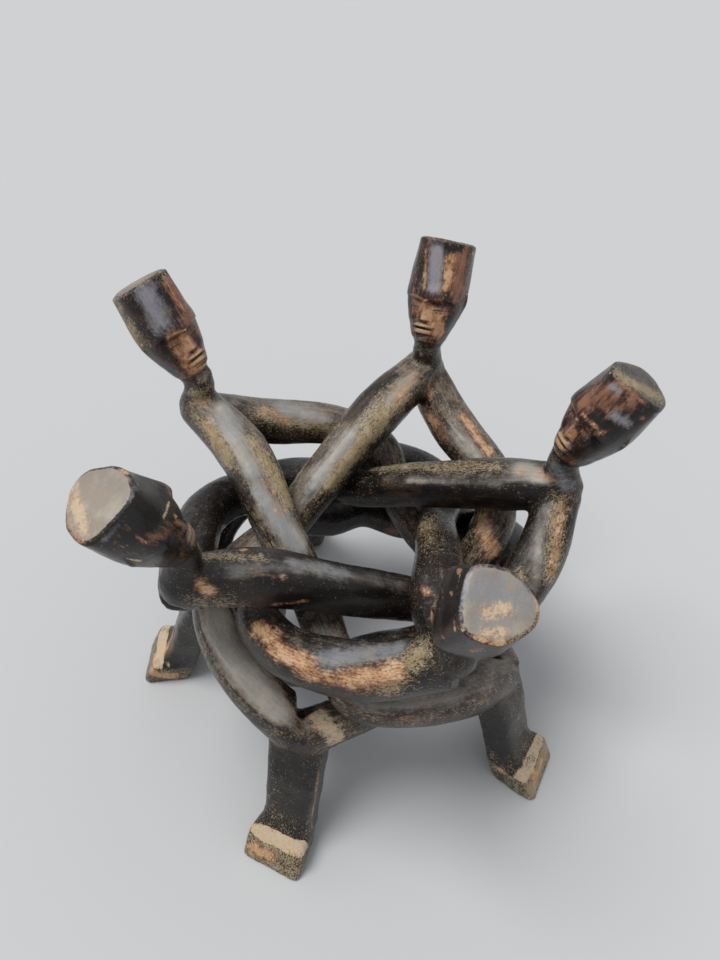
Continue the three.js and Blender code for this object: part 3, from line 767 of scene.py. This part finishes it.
# Marks that stand out in the photograph, by kind: worn is bare wood, rub pale polish with a painted sheen,
# blue a painted cold reflection, red reddish stain, raw a pale cut, gold dust in the pores, and dark the
# bare stain with painted shade on the limbs' undersides. A row holds the pixels that the mark runs between,
# its radius in millimetres and its strength.
MARKS = {
    "blue": (
        (292, 563, 345, 574, 7, 0.9), (322, 659, 398, 648, 8, 1.0), (231, 415, 260, 490, 5, 0.8),
        (260, 490, 292, 544, 6, 0.9), (352, 438, 309, 490, 5, 0.7), (421, 354, 411, 388, 3, 0.9),
        (553, 464, 566, 486, 7, 0.8), (147, 294, 158, 328, 8, 0.8), (437, 252, 434, 286, 5, 1.0),
        (612, 386, 658, 414, 3, 0.8), (616, 417, 628, 424, 4, 0.7), (476, 586, 520, 600, 12, 1.0),
        (480, 620, 500, 622, 9, 0.8), (137, 488, 104, 540, 2.5, 0.6), (104, 476, 126, 490, 9, 0.55),
    ),
    "dark": (
        (245, 598, 320, 606, 5, 0.9), (355, 600, 410, 604, 7, 0.7), (258, 655, 290, 690, 6, 0.8),
        (322, 693, 362, 700, 4, 0.8), (444, 505, 444, 560, 6, 0.6), (290, 755, 300, 800, 18, 1.0),
        (286, 672, 306, 706, 5, 0.9), (228, 470, 250, 505, 4, 0.7), (388, 376, 352, 416, 5, 1.0),
        (385, 494, 500, 498, 6, 0.9), (180, 640, 190, 610, 8, 0.8), (500, 700, 506, 740, 11, 0.9),
        (148, 362, 174, 378, 6, 0.9), (580, 454, 612, 452, 6, 1.0), (628, 372, 650, 385, 6, 0.6),
        (449, 580, 448, 640, 7, 1.0), (66, 509, 88, 543, 1.0, 0.8), (150, 492, 152, 512, 8, 1.0),
    ),
    "gold": (
        (198, 604, 238, 605, 9, 1.0), (205, 556, 262, 558, 5, 1.0), (388, 684, 420, 650, 9, 1.0),
        (426, 520, 440, 590, 9, 0.7), (200, 400, 226, 458, 9, 1.0), (250, 440, 288, 500, 7, 1.0),
        (262, 412, 325, 428, 7, 0.8), (400, 392, 330, 480, 9, 1.0), (376, 468, 500, 467, 7, 0.8),
        (557, 505, 552, 575, 7, 1.0), (522, 520, 520, 575, 6, 0.9), (545, 750, 532, 790, 5, 1.0),
        (116, 304, 140, 345, 8, 1.0), (130, 285, 165, 278, 5, 0.8), (620, 376, 658, 396, 6, 0.9),
        (512, 634, 538, 616, 5, 1.0), (110, 548, 150, 555, 6, 0.6),
    ),
    "raw": (
        (320, 718, 336, 738, 9, 1.0), (258, 835, 300, 845, 3, 0.6), (160, 640, 168, 664, 4, 0.6),
        (128, 330, 142, 345, 1.5, 1.0), (472, 275, 467, 294, 1.4, 0.8), (610, 373, 664, 417, 1.4, 0.9),
        (488, 612, 506, 609, 4, 0.8), (487, 634, 501, 632, 3, 0.7), (460, 575, 463, 630, 1.2, 0.8),
        (138, 485, 101, 546, 1.2, 0.7), (127, 559, 140, 561, 1.4, 0.9), (169, 502, 164, 517, 1.3, 0.9),
    ),
    "red": (
        (296, 603, 318, 602, 4, 0.8), (276, 684, 288, 700, 5, 1.0), (402, 717, 416, 717, 4, 0.7),
        (426, 410, 442, 434, 9, 0.8), (345, 503, 392, 530, 8, 1.0), (385, 501, 430, 503, 5, 0.7),
        (170, 282, 190, 320, 6, 1.0), (462, 258, 458, 292, 7, 1.0), (590, 398, 632, 392, 10, 1.0),
        (150, 535, 168, 530, 5, 0.8), (168, 486, 171, 494, 2, 0.9),
    ),
    "rub": (
        (235, 570, 330, 568, 5, 0.5), (330, 572, 402, 585, 5, 0.4), (221, 618, 236, 655, 13, 1.0),
        (243, 668, 276, 712, 13, 1.0), (365, 706, 455, 706, 9, 0.4), (284, 858, 292, 864, 6, 0.8),
        (222, 408, 250, 470, 6, 1.0), (258, 492, 300, 545, 6, 0.9), (285, 410, 320, 420, 9, 0.8),
        (412, 378, 392, 400, 6, 0.8), (350, 436, 318, 478, 7, 0.8), (450, 438, 468, 456, 7, 0.8),
        (410, 481, 500, 487, 3.5, 0.8), (522, 468, 556, 480, 8, 1.0), (540, 512, 536, 590, 4, 0.5),
        (630, 404, 652, 424, 6, 0.6), (90, 500, 118, 510, 14, 0.3),
    ),
    "worn": (
        (201, 584, 210, 592, 6, 1.0), (250, 572, 284, 577, 4.5, 0.6), (198, 545, 246, 549, 3, 0.9),
        (274, 604, 307, 601, 3, 0.9), (258, 626, 274, 641, 9, 1.0), (274, 648, 312, 668, 9, 1.0),
        (296, 670, 345, 684, 8, 0.9), (345, 681, 396, 672, 10, 1.0), (424, 588, 428, 594, 4, 0.8),
        (470, 651, 500, 640, 5, 0.7), (290, 708, 296, 720, 4, 0.6), (318, 772, 312, 828, 2.5, 0.9),
        (254, 848, 268, 855, 5, 1.0), (203, 402, 212, 436, 5, 0.7), (266, 486, 282, 512, 6, 0.7),
        (266, 408, 286, 420, 7, 0.8), (320, 412, 345, 424, 7, 0.5), (344, 452, 336, 466, 5, 0.6),
        (414, 375, 398, 402, 5, 0.8), (421, 406, 434, 424, 6, 0.9), (464, 416, 488, 452, 6, 1.0),
        (480, 520, 494, 552, 9, 1.0), (405, 424, 398, 434, 3, 0.8), (429, 384, 431, 398, 4, 0.8),
        (540, 474, 552, 480, 5, 0.8), (520, 472, 550, 461, 3, 0.9), (352, 508, 385, 526, 5, 0.5),
        (563, 505, 551, 572, 6, 0.8), (158, 656, 172, 636, 8, 1.0), (560, 486, 574, 500, 5, 0.5),
        (526, 762, 534, 776, 5, 0.8), (501, 770, 516, 794, 5, 0.8), (542, 760, 534, 784, 3, 0.8),
        (152, 672, 172, 676, 6, 0.9), (158, 310, 162, 320, 3, 0.4), (164, 284, 180, 306, 3, 0.8),
        (174, 334, 200, 368, 8, 0.8), (121, 290, 160, 272, 2, 0.6), (450, 258, 446, 288, 5, 1.0),
        (426, 250, 424, 290, 2, 0.9), (417, 243, 414, 290, 3, 0.7), (473, 253, 474, 257, 2.5, 1.0),
        (418, 300, 440, 328, 8, 0.8), (450, 300, 445, 325, 6, 0.5), (642, 418, 655, 422, 3, 0.8),
        (624, 446, 646, 441, 2, 0.9), (583, 414, 597, 428, 2.5, 0.9), (585, 431, 601, 431, 4, 0.8),
        (560, 420, 572, 434, 5, 0.6), (486, 612, 508, 609, 5, 1.0), (484, 634, 504, 631, 4, 0.9),
        (457, 570, 460, 572, 2.2, 1.0), (450, 592, 452, 594, 2.2, 1.0), (454, 622, 455, 630, 2, 0.9),
        (442, 636, 444, 638, 2, 0.9), (530, 590, 536, 604, 4, 0.6), (96, 506, 100, 512, 5, 0.3),
        (72, 490, 84, 530, 6, 1.0), (68, 520, 80, 540, 3, 0.6), (90, 549, 97, 552, 2.2, 0.9),
        (126, 526, 146, 543, 2, 0.7), (122, 471, 132, 475, 2.5, 0.8), (174, 518, 180, 526, 3, 0.6),
    ),
}


# How well a point's normal has to agree with the one at the mark: nothing below, all of the mark above.
FACING = (0.3, 0.75)


def paint_marks(skins, trees):
    """Strength of each kind of mark on every figure: a Gaussian of the distance to the line between the
    spots that the sight lines of its two pixels meet, less where the skin faces another way than there.
    Spots on different figures stand for themselves."""
    masks = {name: {kind: np.zeros(len(points)) for kind in MARKS} for name, (points, _) in skins.items()}
    rows = [(kind, *row) for kind, group in MARKS.items() for row in group]

    def met(x, y):
        start, direction = photo_ray(x, y)
        casts = [(*tree.ray_cast(start, direction), name) for name, tree in trees.items()]
        hits = [(far, name, np.array(spot) / MM, np.array(normal)) for spot, normal, _, far, name in casts
                if spot is not None]
        return min(hits, key=lambda hit: hit[0])[1:] if hits else None

    for kind, x0, y0, x1, y1, radius, strength in rows:
        ends = [end for end in (met(x0, y0), met(x1, y1)) if end]
        for name in {end[0] for end in ends}:
            spots = [end[1:] for end in ends if end[0] == name]
            points, normals = skins[name]
            points = points - spots[0][0]
            line = spots[-1][0] - spots[0][0]
            share = np.clip(points @ line / max(line @ line, 1e-9), 0, 1)[:, None]
            gap = ((points - share * line) ** 2).sum(axis=1)
            facing = (normals * (spots[0][1] * (1 - share) + spots[-1][1] * share)).sum(axis=1)
            mask = masks[name][kind]
            np.maximum(mask, strength * np.exp(-gap / radius ** 2) * smoothstep(*FACING, facing), out=mask)
    return masks


def snapped(figure, points):
    """Head points moved out or in along their own ray from the head's axis onto the flats of the head."""
    matrix = np.array(head_matrix(figure))
    forward, across, height = head_coordinates(figure, points)
    r = np.maximum(np.hypot(forward, across), 1e-6)
    target = head_radius(figure, np.arctan2(across, forward), height)
    share = smoothstep(1.0, 4.0, height) * (r > 0.8 * target) * (np.abs(r - target) < SNAP_REACH) \
        * fall(figure["head_length"] - 1.6, figure["head_length"] - 0.6, height)
    grow = 1 + share * (target / r - 1)
    local = np.stack([-forward * grow, across * grow, height], axis=1)
    return local @ matrix[:3, :3].T + matrix[:3, 3]


def carve(figure, sizes):
    """Mesh of one figure in metres at its place, with the arrays that its material reads."""
    swell = sizes.swell / MM
    surfaces = [limb_surface(figure, True, swell), limb_surface(figure, False, swell), neck_surface(figure),
                leg_surface(figure), head_surface(figure)]
    mesh = carved_skin(figure["name"], surfaces, notch_surface(figure), sizes.cell / MM)
    points = read(mesh, "vertices", "co", 3)
    edges = read(mesh, "edges", "vertices", 2, np.int32)
    sole = points[:, 2] < SOLE_BAND
    points = smoothed(points, edges, sizes.smoothing, SKIN_SHARE)
    points[sole, 2] = np.maximum(points[sole, 2], 0.0)
    normals_of(points, mesh)
    forward, across, height = head_coordinates(figure, points)
    finer(mesh, (height > -1) & (np.hypot(forward, across) < REFINED_REACH))
    points = snapped(figure, read(mesh, "vertices", "co", 3))
    edges = read(mesh, "edges", "vertices", 2, np.int32)
    normals = normals_of(points, mesh)
    forward, across, height = head_coordinates(figure, points)
    head = smoothstep(-1.5, 1.0, height) * (np.hypot(forward, across) < HEAD_REACH)
    leg_local = turned(points, -180 - figure["leg_turn"])
    leg = fall(KNEE_HEIGHT - 14, KNEE_HEIGHT - 2, points[:, 2]) \
        * (leg_local[:, 0] > KNEE_REACH - LEG_INSET) * (np.abs(leg_local[:, 1]) < LEG_SPREAD)
    grain = limb_coordinates(figure, points)
    grain = np.where(head[:, None] > 0.5, np.stack([across, forward, height], axis=1), grain)
    grain = np.where(leg[:, None] > 0.5, leg_local[:, [1, 0, 2]], grain)
    seed = figure["azimuth"]
    cuts = scallops(grain / SCALLOP_SIZE + seed)
    coarse, fine = (value_noise(points / size + seed) for size in LUMP_SIZES)
    rough = coarse + 0.5 * fine - 0.75
    relief, pale, groove_shade, frontal = face_relief(forward, across, height, sizes)
    ears, ridge = ear_relief(forward, across, height, sizes)
    on_face = head * frontal * fall(BROW_HEIGHT - 1, BROW_HEIGHT + 2, height)
    plain = (1 - on_face) * (1 - 0.5 * head) * (points[:, 2] > 1.0)
    facing = -np.array(head_matrix(figure))[:3, 0]
    depth = sizes.scallop / MM * (1.6 * cuts - 0.6) + LUMP_HEIGHT * rough
    points = points + normals * (plain * depth)[:, None]
    points = points + np.outer(head * relief, facing) + normals * (head * ears)[:, None]
    points[:, 2] = np.maximum(points[:, 2], 0.0)
    normals = normals_of(points, mesh)
    stand_out = convexity(points, normals, edges, RIDGE_ROUNDS)
    length = figure["head_length"]
    # A painted highlight along the crown's rim, carried by the edge mask.
    rim = head * bump(height - length + 0.9, 1.5) * fall(0.93, 0.97, normals @ head_up(figure))
    crown = head_section(figure, height)[4]
    angle = np.arctan2(across, forward) + math.radians(figure["crown_turn"]) * crown
    beside = np.abs(np.hypot(forward, across) * np.sin(angle))
    facet = figure["facet"] * (1 - crown) + 0.34 * figure["crown_width"] * crown
    forehead = head * (np.cos(angle) > 0) * smoothstep(BROW_HEIGHT, BROW_HEIGHT + 3, height) \
        * (height < length - 0.5)
    # Of these masks, the one of recesses and face grooves is painted shade, and the pale one painted
    # highlight on the face's raised features and the ear ridges.
    masks = {
        "edge": np.maximum(smoothstep(0.25, 1.1, stand_out), np.maximum(
            rim, 0.2 * forehead * bump(beside - facet, 1.2))),
        "facet": forehead * fall(facet - 4, facet + 1, beside),
        "hollow": np.maximum(smoothstep(0.15, 0.9, -stand_out), head * groove_shade),
        "head": head,
        "crown": head * smoothstep(length - 3, length - 1.4, height)
        * smoothstep(0.88, 0.97, normals @ head_up(figure)),
        "face": head * frontal * fall(10, 16, np.abs(across))
        * fall(-0.5, 2.5, height - brow_line(np.abs(across))),
        "pale": head * np.clip(pale + 0.6 * ridge, 0, 1),
        "leg": leg,
        "up": normals[:, 2],
        "rust": head * smoothstep(-7, 3, forward)
        * (1 - 0.7 * smoothstep(length - 1.2, length - 0.4, height)),
        "band": leg * smoothstep(TOE_HEIGHT - 1.0, TOE_HEIGHT + 0.4, points[:, 2])
        * fall(LEDGE_HEIGHT + 0.2, LEDGE_HEIGHT + 1.4, points[:, 2])
        * smoothstep(TOE_REACH - 19, TOE_REACH - 17, leg_local[:, 0]),
        "toe": leg * fall(TOE_HEIGHT - 1, TOE_HEIGHT + 1, points[:, 2]),
    }
    places = turned(points, figure["azimuth"]) + MIDDLE
    mesh.vertices.foreach_set("co", (places * MM).astype(np.float32).ravel())
    mesh.update()
    return mesh, places, grain, masks


class Value:
    """A number socket in a material, with the arithmetic that adds Math nodes."""

    def __init__(self, graph, socket):
        self.graph = graph
        self.socket = socket

    def _math(self, operation, first, second):
        settings = {"operation": operation}
        return Value(self.graph, self.graph.node("ShaderNodeMath", settings, {0: first, 1: second}))

    def __add__(self, other):
        return self._math("ADD", self, other)

    def __radd__(self, other):
        return self._math("ADD", other, self)

    def __sub__(self, other):
        return self._math("SUBTRACT", self, other)

    def __rsub__(self, other):
        return self._math("SUBTRACT", other, self)

    def __mul__(self, other):
        return self._math("MULTIPLY", self, other)

    def __rmul__(self, other):
        return self._math("MULTIPLY", other, self)


class Graph:
    """Nodes of one material or world."""

    def __init__(self, owner):
        owner.use_nodes = True
        self.owner = owner
        self.tree = owner.node_tree
        self.tree.nodes.clear()

    def node(self, kind, settings=None, inputs=None, output=0):
        """Add a node, set what it is, feed its sockets with numbers, colours or links, return an output."""
        made = self.tree.nodes.new(kind)
        for key, value in (settings or {}).items():
            if key == "stops":
                self._stops(made.color_ramp, value)
            else:
                setattr(made, key, value)
        for key, value in (inputs or {}).items():
            value = value.socket if isinstance(value, Value) else value
            if isinstance(value, bpy.types.NodeSocket):
                self.tree.links.new(value, made.inputs[key])
            else:
                made.inputs[key].default_value = value
        return made.outputs[output] if made.outputs else None

    def _stops(self, ramp, stops):
        while len(ramp.elements) < len(stops):
            ramp.elements.new(0.5)
        for element, (place, level) in zip(ramp.elements, stops):
            element.position = place
            element.color = (level, level, level, 1)

    def attribute(self, name):
        return Value(self, self.node("ShaderNodeAttribute", {"attribute_name": name}, output="Fac"))

    def noise(self, vector, scale, detail=3.0, roughness=0.55, distortion=0.0):
        inputs = {"Vector": vector, "Scale": scale, "Detail": detail, "Roughness": roughness,
                  "Distortion": distortion}
        return Value(self, self.node("ShaderNodeTexNoise", {}, inputs, output="Fac"))

    def stretch(self, vector, factors):
        return self.node("ShaderNodeVectorMath", {"operation": "MULTIPLY"}, {0: vector, 1: factors})

    def step(self, value, low, high):
        """Zero below low, one above high, smooth between."""
        inputs = {"Value": value, "From Min": low, "From Max": high}
        settings = {"interpolation_type": "SMOOTHSTEP"}
        return Value(self, self.node("ShaderNodeMapRange", settings, inputs, output="Result"))

    def mix(self, share, first, second):
        """Colour between two colours."""
        settings = {"data_type": "RGBA", "clamp_factor": True}
        return self.node("ShaderNodeMix", settings, {0: share, 6: opaque(first), 7: opaque(second)}, output=2)


def opaque(colour):
    """A colour with alpha, or the link that brings one."""
    return colour if isinstance(colour, bpy.types.NodeSocket) else (*colour, 1.0)


def wood_material(figure, colours):
    """Stained and waxed wood: dark stain, pale where polished, tan where worn, gold where dust lies, with a
    sheen and reflections painted on the tops and foreheads, and highlights and shade painted on the faces
    and in the recesses.
    """
    g = Graph(bpy.data.materials.new("worn_wood_" + figure["name"]))
    place = g.node("ShaderNodeTexCoord", output="Object")
    place = g.node("ShaderNodeVectorMath", {"operation": "SCALE"}, {0: place, "Scale": 1 / MM})
    shift = (figure["azimuth"] * 3.0, 0, 0)
    place = g.node("ShaderNodeVectorMath", {"operation": "ADD"}, {0: place, 1: shift})
    grain = g.node("ShaderNodeAttribute", {"attribute_name": "grain"}, output="Vector")
    along = g.stretch(grain, (1.0, 1.0, 0.14))
    dashes = g.stretch(grain, (1.0, 1.0, 0.5))
    edge, hollow, up, facet, rust = (g.attribute(key) for key in ("edge", "hollow", "up", "facet", "rust"))
    head, face, pale = g.attribute("head"), g.attribute("face"), g.attribute("pale")
    leg, band, toe = g.attribute("leg"), g.attribute("band"), g.attribute("toe")
    # Rub marks carry a painted sheen, blue marks a painted reflection, and dark marks painted shade on
    # undersides as well as unworn stain.
    worn, rub, dark, raw = (g.attribute(kind) for kind in ("worn", "rub", "dark", "raw"))
    blue, red, gold, crown = (g.attribute(kind) for kind in ("blue", "red", "gold", "crown"))

    streak = g.noise(along, 0.42, 4.0, 0.62) - 0.5
    broad = g.noise(place, 0.040, 3.0, 0.6, 0.4) - 0.5
    middle = g.noise(place, 0.15, 4.0, 0.62) - 0.5
    fine = g.noise(dashes, 0.95, 3.0, 0.72) - 0.5
    tiny = g.noise(place, 2.1, 2.0, 0.6) - 0.5
    torn = middle * 0.9 + streak * 0.7 + fine * 0.8
    # Upward faces, painted paler: polish together with a painted sheen.
    top_polish_sheen = g.step(up, 0.35, 1.0)
    pits = g.step(fine + tiny * 0.6, -0.16, 0.06)
    bark = g.step(fine * 0.9 + streak * 1.2, -0.18, 0.12)

    light_stain = 1 - figure["stain"]
    thick = streak + broad * 1.2 + middle * 0.6 + light_stain * 0.5 - leg * 0.3 - 0.02
    stain = g.mix(g.step(thick, 0.0, 0.6), colours.black, g.mix(head, colours.brown, colours.maroon))
    thin = g.step(up * 0.35 + middle * 1.1 + streak * 0.7 + light_stain * 0.9 - leg * 1.1 - dark * 0.9
                  - head * 0.5 - 0.50, 0.0, 0.5)
    stain = g.mix(thin * (0.25 + 0.65 * bark), stain, colours.umber)
    reddish = g.step(red * 0.9 + rust * 0.25 + face * (0.45 * figure["face"]) + torn * 1.2 + broad
                     - dark * 0.8 - 0.32, 0.0, 0.8)
    stain = g.mix(reddish * 0.9, stain, g.mix(g.step(middle + streak, -0.4, 0.1), colours.maroon,
                                              colours.russet))

    # Tops painted pale grey: wax and dust together with a painted sheen, strongest on upward faces and at the
    # rub marks, and colder where more of the painted reflection is mixed in.
    lift = (top_polish_sheen * 0.75 + rub * 1.0 + broad * 0.5 + middle * 0.3 - dark * 1.0 - leg * 0.45 - head * 0.35
            - crown * (0.45 - 0.45 * figure["crown"]) + (0.55 * figure["polish"] - 0.78))
    rubbed = g.step(lift + torn * 0.55, -0.1, 1.05)
    pale_grey = g.mix(g.step(middle + broad, -0.1, 0.3), colours.mauve, colours.grey)
    pale_grey = g.mix(rub * 0.6, pale_grey, colours.ash)
    grey = g.mix(g.step(up * 0.3 + broad * 1.5 + middle, -0.1, 0.5) * figure["blue"], pale_grey,
                 colours.slate_reflection)
    colour = g.mix(rubbed * (0.05 + 0.65 * figure["polish"] + rub * 0.4 + bark * 0.12), stain, grey)
    # Pale crowns: polish together with a painted reflection.
    top = g.step(crown * (figure["crown"] + 0.2) + torn * 0.5 - dark * 0.6 - 0.1, 0.0, 0.8)
    colour = g.mix(top * figure["crown"] * 0.95, colour, pale_grey)
    # Painted sheen: cold reflections painted on the blue marks and on the forehead flats.
    sheen = g.step(blue * 1.0 + facet * 0.42 * figure["polish"] + torn * 0.9 + broad * 0.5 - 0.28, 0.0, 0.8)
    reflection_tint = g.mix(head * (1 - crown), colours.slate_reflection, colours.violet_reflection)
    reflection_tint = g.mix(g.step(streak + middle * 1.4, 0.0, 0.35), reflection_tint, colours.mauve)
    colour = g.mix(sheen * 0.85, colour, reflection_tint)

    shoulder = g.step(up + broad * 1.1 + middle * 0.6, -0.75, 0.25) * (1 - rubbed * 0.7) * (1 - sheen)
    density = (shoulder * (0.22 * figure["dust"]) + gold * 0.22 + broad * 0.10 + middle * 0.12 + edge * 0.05
               - dark * 0.10 - face * 0.08 - head * 0.06 + toe * 0.12
               + crown * (0.14 - 0.26 * figure["crown"]))
    specks = g.step(fine * 0.8 + tiny * 0.55 + density - 0.22, 0.0, 0.10)
    dust = g.mix(g.step(middle + tiny, 0.0, 0.3), colours.gold, colours.cream)
    colour = g.mix(specks * (0.50 + 0.35 * figure["dust"]), colour, dust)

    bare = g.step(worn * 1.38 + edge * (0.45 + 0.40 * figure["wear"]) + torn * 1.25 + toe * 0.48 - dark * 0.35
                  + face * (0.55 * figure["face"]) + (0.16 * figure["wear"] - 0.62), 0.0, 1.0)
    wood = g.mix(g.step(bare + tiny * 0.5 + streak * 0.6, 0.10, 0.55), colours.russet, colours.orange)
    wood = g.mix(g.step(bare + tiny * 0.8 + streak * 1.1 + middle * 0.8 - face * 0.24, 0.45, 1.15), wood,
                 colours.tan)
    wood = g.mix(g.step(middle + fine * 0.8 + up * 0.08 - face * 0.3 + crown * 0.3, 0.1, 0.4) * 0.7, wood,
                 colours.cream)
    colour = g.mix(bare * (0.58 + 0.40 * pits), colour, wood)

    # Painted highlights on the face's raised features.
    light = g.step(pale + middle * 1.0 + tiny * 0.5 - 0.34, 0.0, 0.7)
    colour = g.mix(light * (0.25 + 0.45 * figure["face"]), colour,
                   g.mix(g.step(middle + fine, 0.0, 0.3), colours.tan, colours.cream))
    cut = g.step(band * 0.84 + raw * 0.95 + torn * 1.1 - 0.42, 0.0, 0.45)
    colour = g.mix(cut * (0.72 + 0.22 * pits), colour,
                   g.mix(g.step(streak + tiny, -0.05, 0.2), colours.cream, colours.tan))
    # Painted shade: near black in the recesses and in the face's grooves.
    colour = g.mix(hollow * 0.85, colour, colours.black)

    roughness = 0.22 + 0.25 * middle + 0.16 * bare + 0.25 * specks + 0.25 * cut + 0.04 * rubbed - 0.05 * sheen
    pores = g.node("ShaderNodeBump", {}, {"Strength": 0.75, "Distance": 0.0006,
                                          "Height": fine * 0.7 + tiny * 0.3 + streak * 0.6 + specks * 0.15})
    shader = g.node("ShaderNodeBsdfPrincipled", {}, {
        "Base Color": colour, "Roughness": roughness, "Normal": pores, "Specular IOR Level": 0.33,
        "Coat Weight": 0.15 * (1 - cut), "Coat Roughness": 0.18})
    g.node("ShaderNodeOutputMaterial", {}, {"Surface": shader})
    return g.owner


def plain_material(name, colour, roughness):
    """One even colour for the floor."""
    g = Graph(bpy.data.materials.new(name))
    shader = g.node("ShaderNodeBsdfPrincipled", {}, {"Base Color": opaque(colour), "Roughness": roughness,
                                                     "Specular IOR Level": 0.1})
    g.node("ShaderNodeOutputMaterial", {}, {"Surface": shader})
    return g.owner


def store(mesh, name, values):
    """Write an array of numbers or vectors to the mesh's points under a name."""
    vector = values.ndim == 2
    layer = mesh.attributes.new(name, "FLOAT_VECTOR" if vector else "FLOAT", "POINT")
    layer.data.foreach_set("vector" if vector else "value", values.astype(np.float32).ravel())


class FIGURESTAND_OT_figures(bpy.types.Operator):
    """Carve the five linked figures and finish their wood"""

    bl_idname = "figurestand.figures"
    bl_label = "Carve figures"

    def execute(self, context):
        scene = context.scene
        carved = {figure["name"]: carve(figure, scene.figurestand_sizes) for figure in FIGURES}
        trees = {}
        for name, (mesh, _, _, _) in carved.items():
            mesh.calc_loop_triangles()
            corners = read(mesh, "loop_triangles", "vertices", 3, np.int32)
            trees[name] = BVHTree.FromPolygons(read(mesh, "vertices", "co", 3).tolist(), corners.tolist())
        skins = {name: (places, read(mesh, "vertex_normals", "vector", 3))
                 for name, (mesh, places, _, _) in carved.items()}
        marks = paint_marks(skins, trees)
        for figure in FIGURES:
            name = figure["name"]
            mesh, _, grain, masks = carved[name]
            store(mesh, "grain", grain)
            for key, values in {**masks, **marks[name]}.items():
                store(mesh, key, values)
            mesh.polygons.foreach_set("use_smooth", np.ones(len(mesh.polygons), bool))
            mesh.materials.clear()
            mesh.materials.append(wood_material(figure, scene.figurestand_colours))
            piece = placed("carved_" + name, mesh)
            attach(piece, name)
            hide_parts(name)
        return {"FINISHED"}


# Half the floor's width in metres, where the key light comes from (high up and a little to the left), and
# the colours of that light and of the backdrop.
FLOOR_HALF = 6.0
KEY_SOURCE = (-0.35, -0.05, 1.0)
KEY_COLOUR = (1.0, 0.985, 0.96)
SKY_COLOUR = (0.95, 0.97, 1.0)


def studio_world(stage):
    """Even light from all round, and a pale backdrop where sight lines and reflections pass the floor."""
    g = Graph(bpy.data.worlds.new("studio"))
    rays = [Value(g, g.node("ShaderNodeLightPath", output=key))
            for key in ("Is Camera Ray", "Is Glossy Ray", "Is Transmission Ray")]
    seen = Value(g, g.node("ShaderNodeClamp", {}, {"Value": rays[0] + rays[1] + rays[2]}))
    strength = stage.ambient + seen * (stage.backdrop - stage.ambient)
    sky = g.node("ShaderNodeBackground", {}, {"Color": opaque(SKY_COLOUR), "Strength": strength})
    g.node("ShaderNodeOutputWorld", {}, {"Surface": sky})
    return g.owner


class FIGURESTAND_OT_stage(bpy.types.Operator):
    """Make the floor, the light and the camera"""

    bl_idname = "figurestand.stage"
    bl_label = "Set stage"

    def execute(self, context):
        scene = context.scene
        stage = scene.figurestand_stage
        mesh = bpy.data.meshes.new("floor")
        corners = [(-1, -1), (1, -1), (1, 1), (-1, 1)]
        mesh.from_pydata([(x * FLOOR_HALF, y * FLOOR_HALF, 0) for x, y in corners], [], [(0, 1, 2, 3)])
        mesh.materials.append(plain_material("pale_floor", stage.floor, 0.7))
        floor = placed("floor", mesh)
        scene.world = studio_world(stage)
        sun = bpy.data.lights.new("key", "SUN")
        sun.energy = stage.key
        sun.angle = stage.key_spread
        sun.color = KEY_COLOUR
        lamp = placed("key", sun)
        lamp.rotation_euler = Vector(KEY_SOURCE).to_track_quat("Z", "Y").to_euler()
        data = bpy.data.cameras.new("camera")
        data.sensor_fit = "AUTO"
        data.sensor_width = SENSOR
        data.lens = LENS
        data.clip_start = NEAR_CLIP
        camera = placed("camera", data)
        camera.matrix_world = camera_matrix()
        scene.camera = camera
        scene.view_settings.view_transform = "Standard"
        return {"FINISHED"}


class FIGURESTAND_PT_panel(bpy.types.Panel):
    """Sizes, colours and buttons of the stand"""

    bl_idname = "FIGURESTAND_PT_panel"
    bl_label = "Figure stand"
    bl_space_type = "VIEW_3D"
    bl_region_type = "UI"
    bl_category = "Figure stand"

    def draw(self, context):
        scene = context.scene
        for group in (scene.figurestand_sizes, scene.figurestand_colours, scene.figurestand_stage):
            box = self.layout.box()
            for key in group.__annotations__:
                box.prop(group, key)
        self.layout.operator(FIGURESTAND_OT_figures.bl_idname)
        self.layout.operator(FIGURESTAND_OT_stage.bl_idname)


CLASSES = (FigureStandSizes, FigureStandColours, FigureStandStage, FIGURESTAND_OT_figures,
           FIGURESTAND_OT_stage, FIGURESTAND_PT_panel)


def register():
    for made in CLASSES:
        bpy.utils.register_class(made)
    bpy.types.Scene.figurestand_sizes = PointerProperty(type=FigureStandSizes)
    bpy.types.Scene.figurestand_colours = PointerProperty(type=FigureStandColours)
    bpy.types.Scene.figurestand_stage = PointerProperty(type=FigureStandStage)


def unregister():
    del bpy.types.Scene.figurestand_stage
    del bpy.types.Scene.figurestand_colours
    del bpy.types.Scene.figurestand_sizes
    for made in reversed(CLASSES):
        bpy.utils.unregister_class(made)


def main():
    """Make everything in order."""
    register()
    bpy.ops.figurestand.stage()
    bpy.ops.figurestand.figures()


if __name__ == "__main__":
    main()
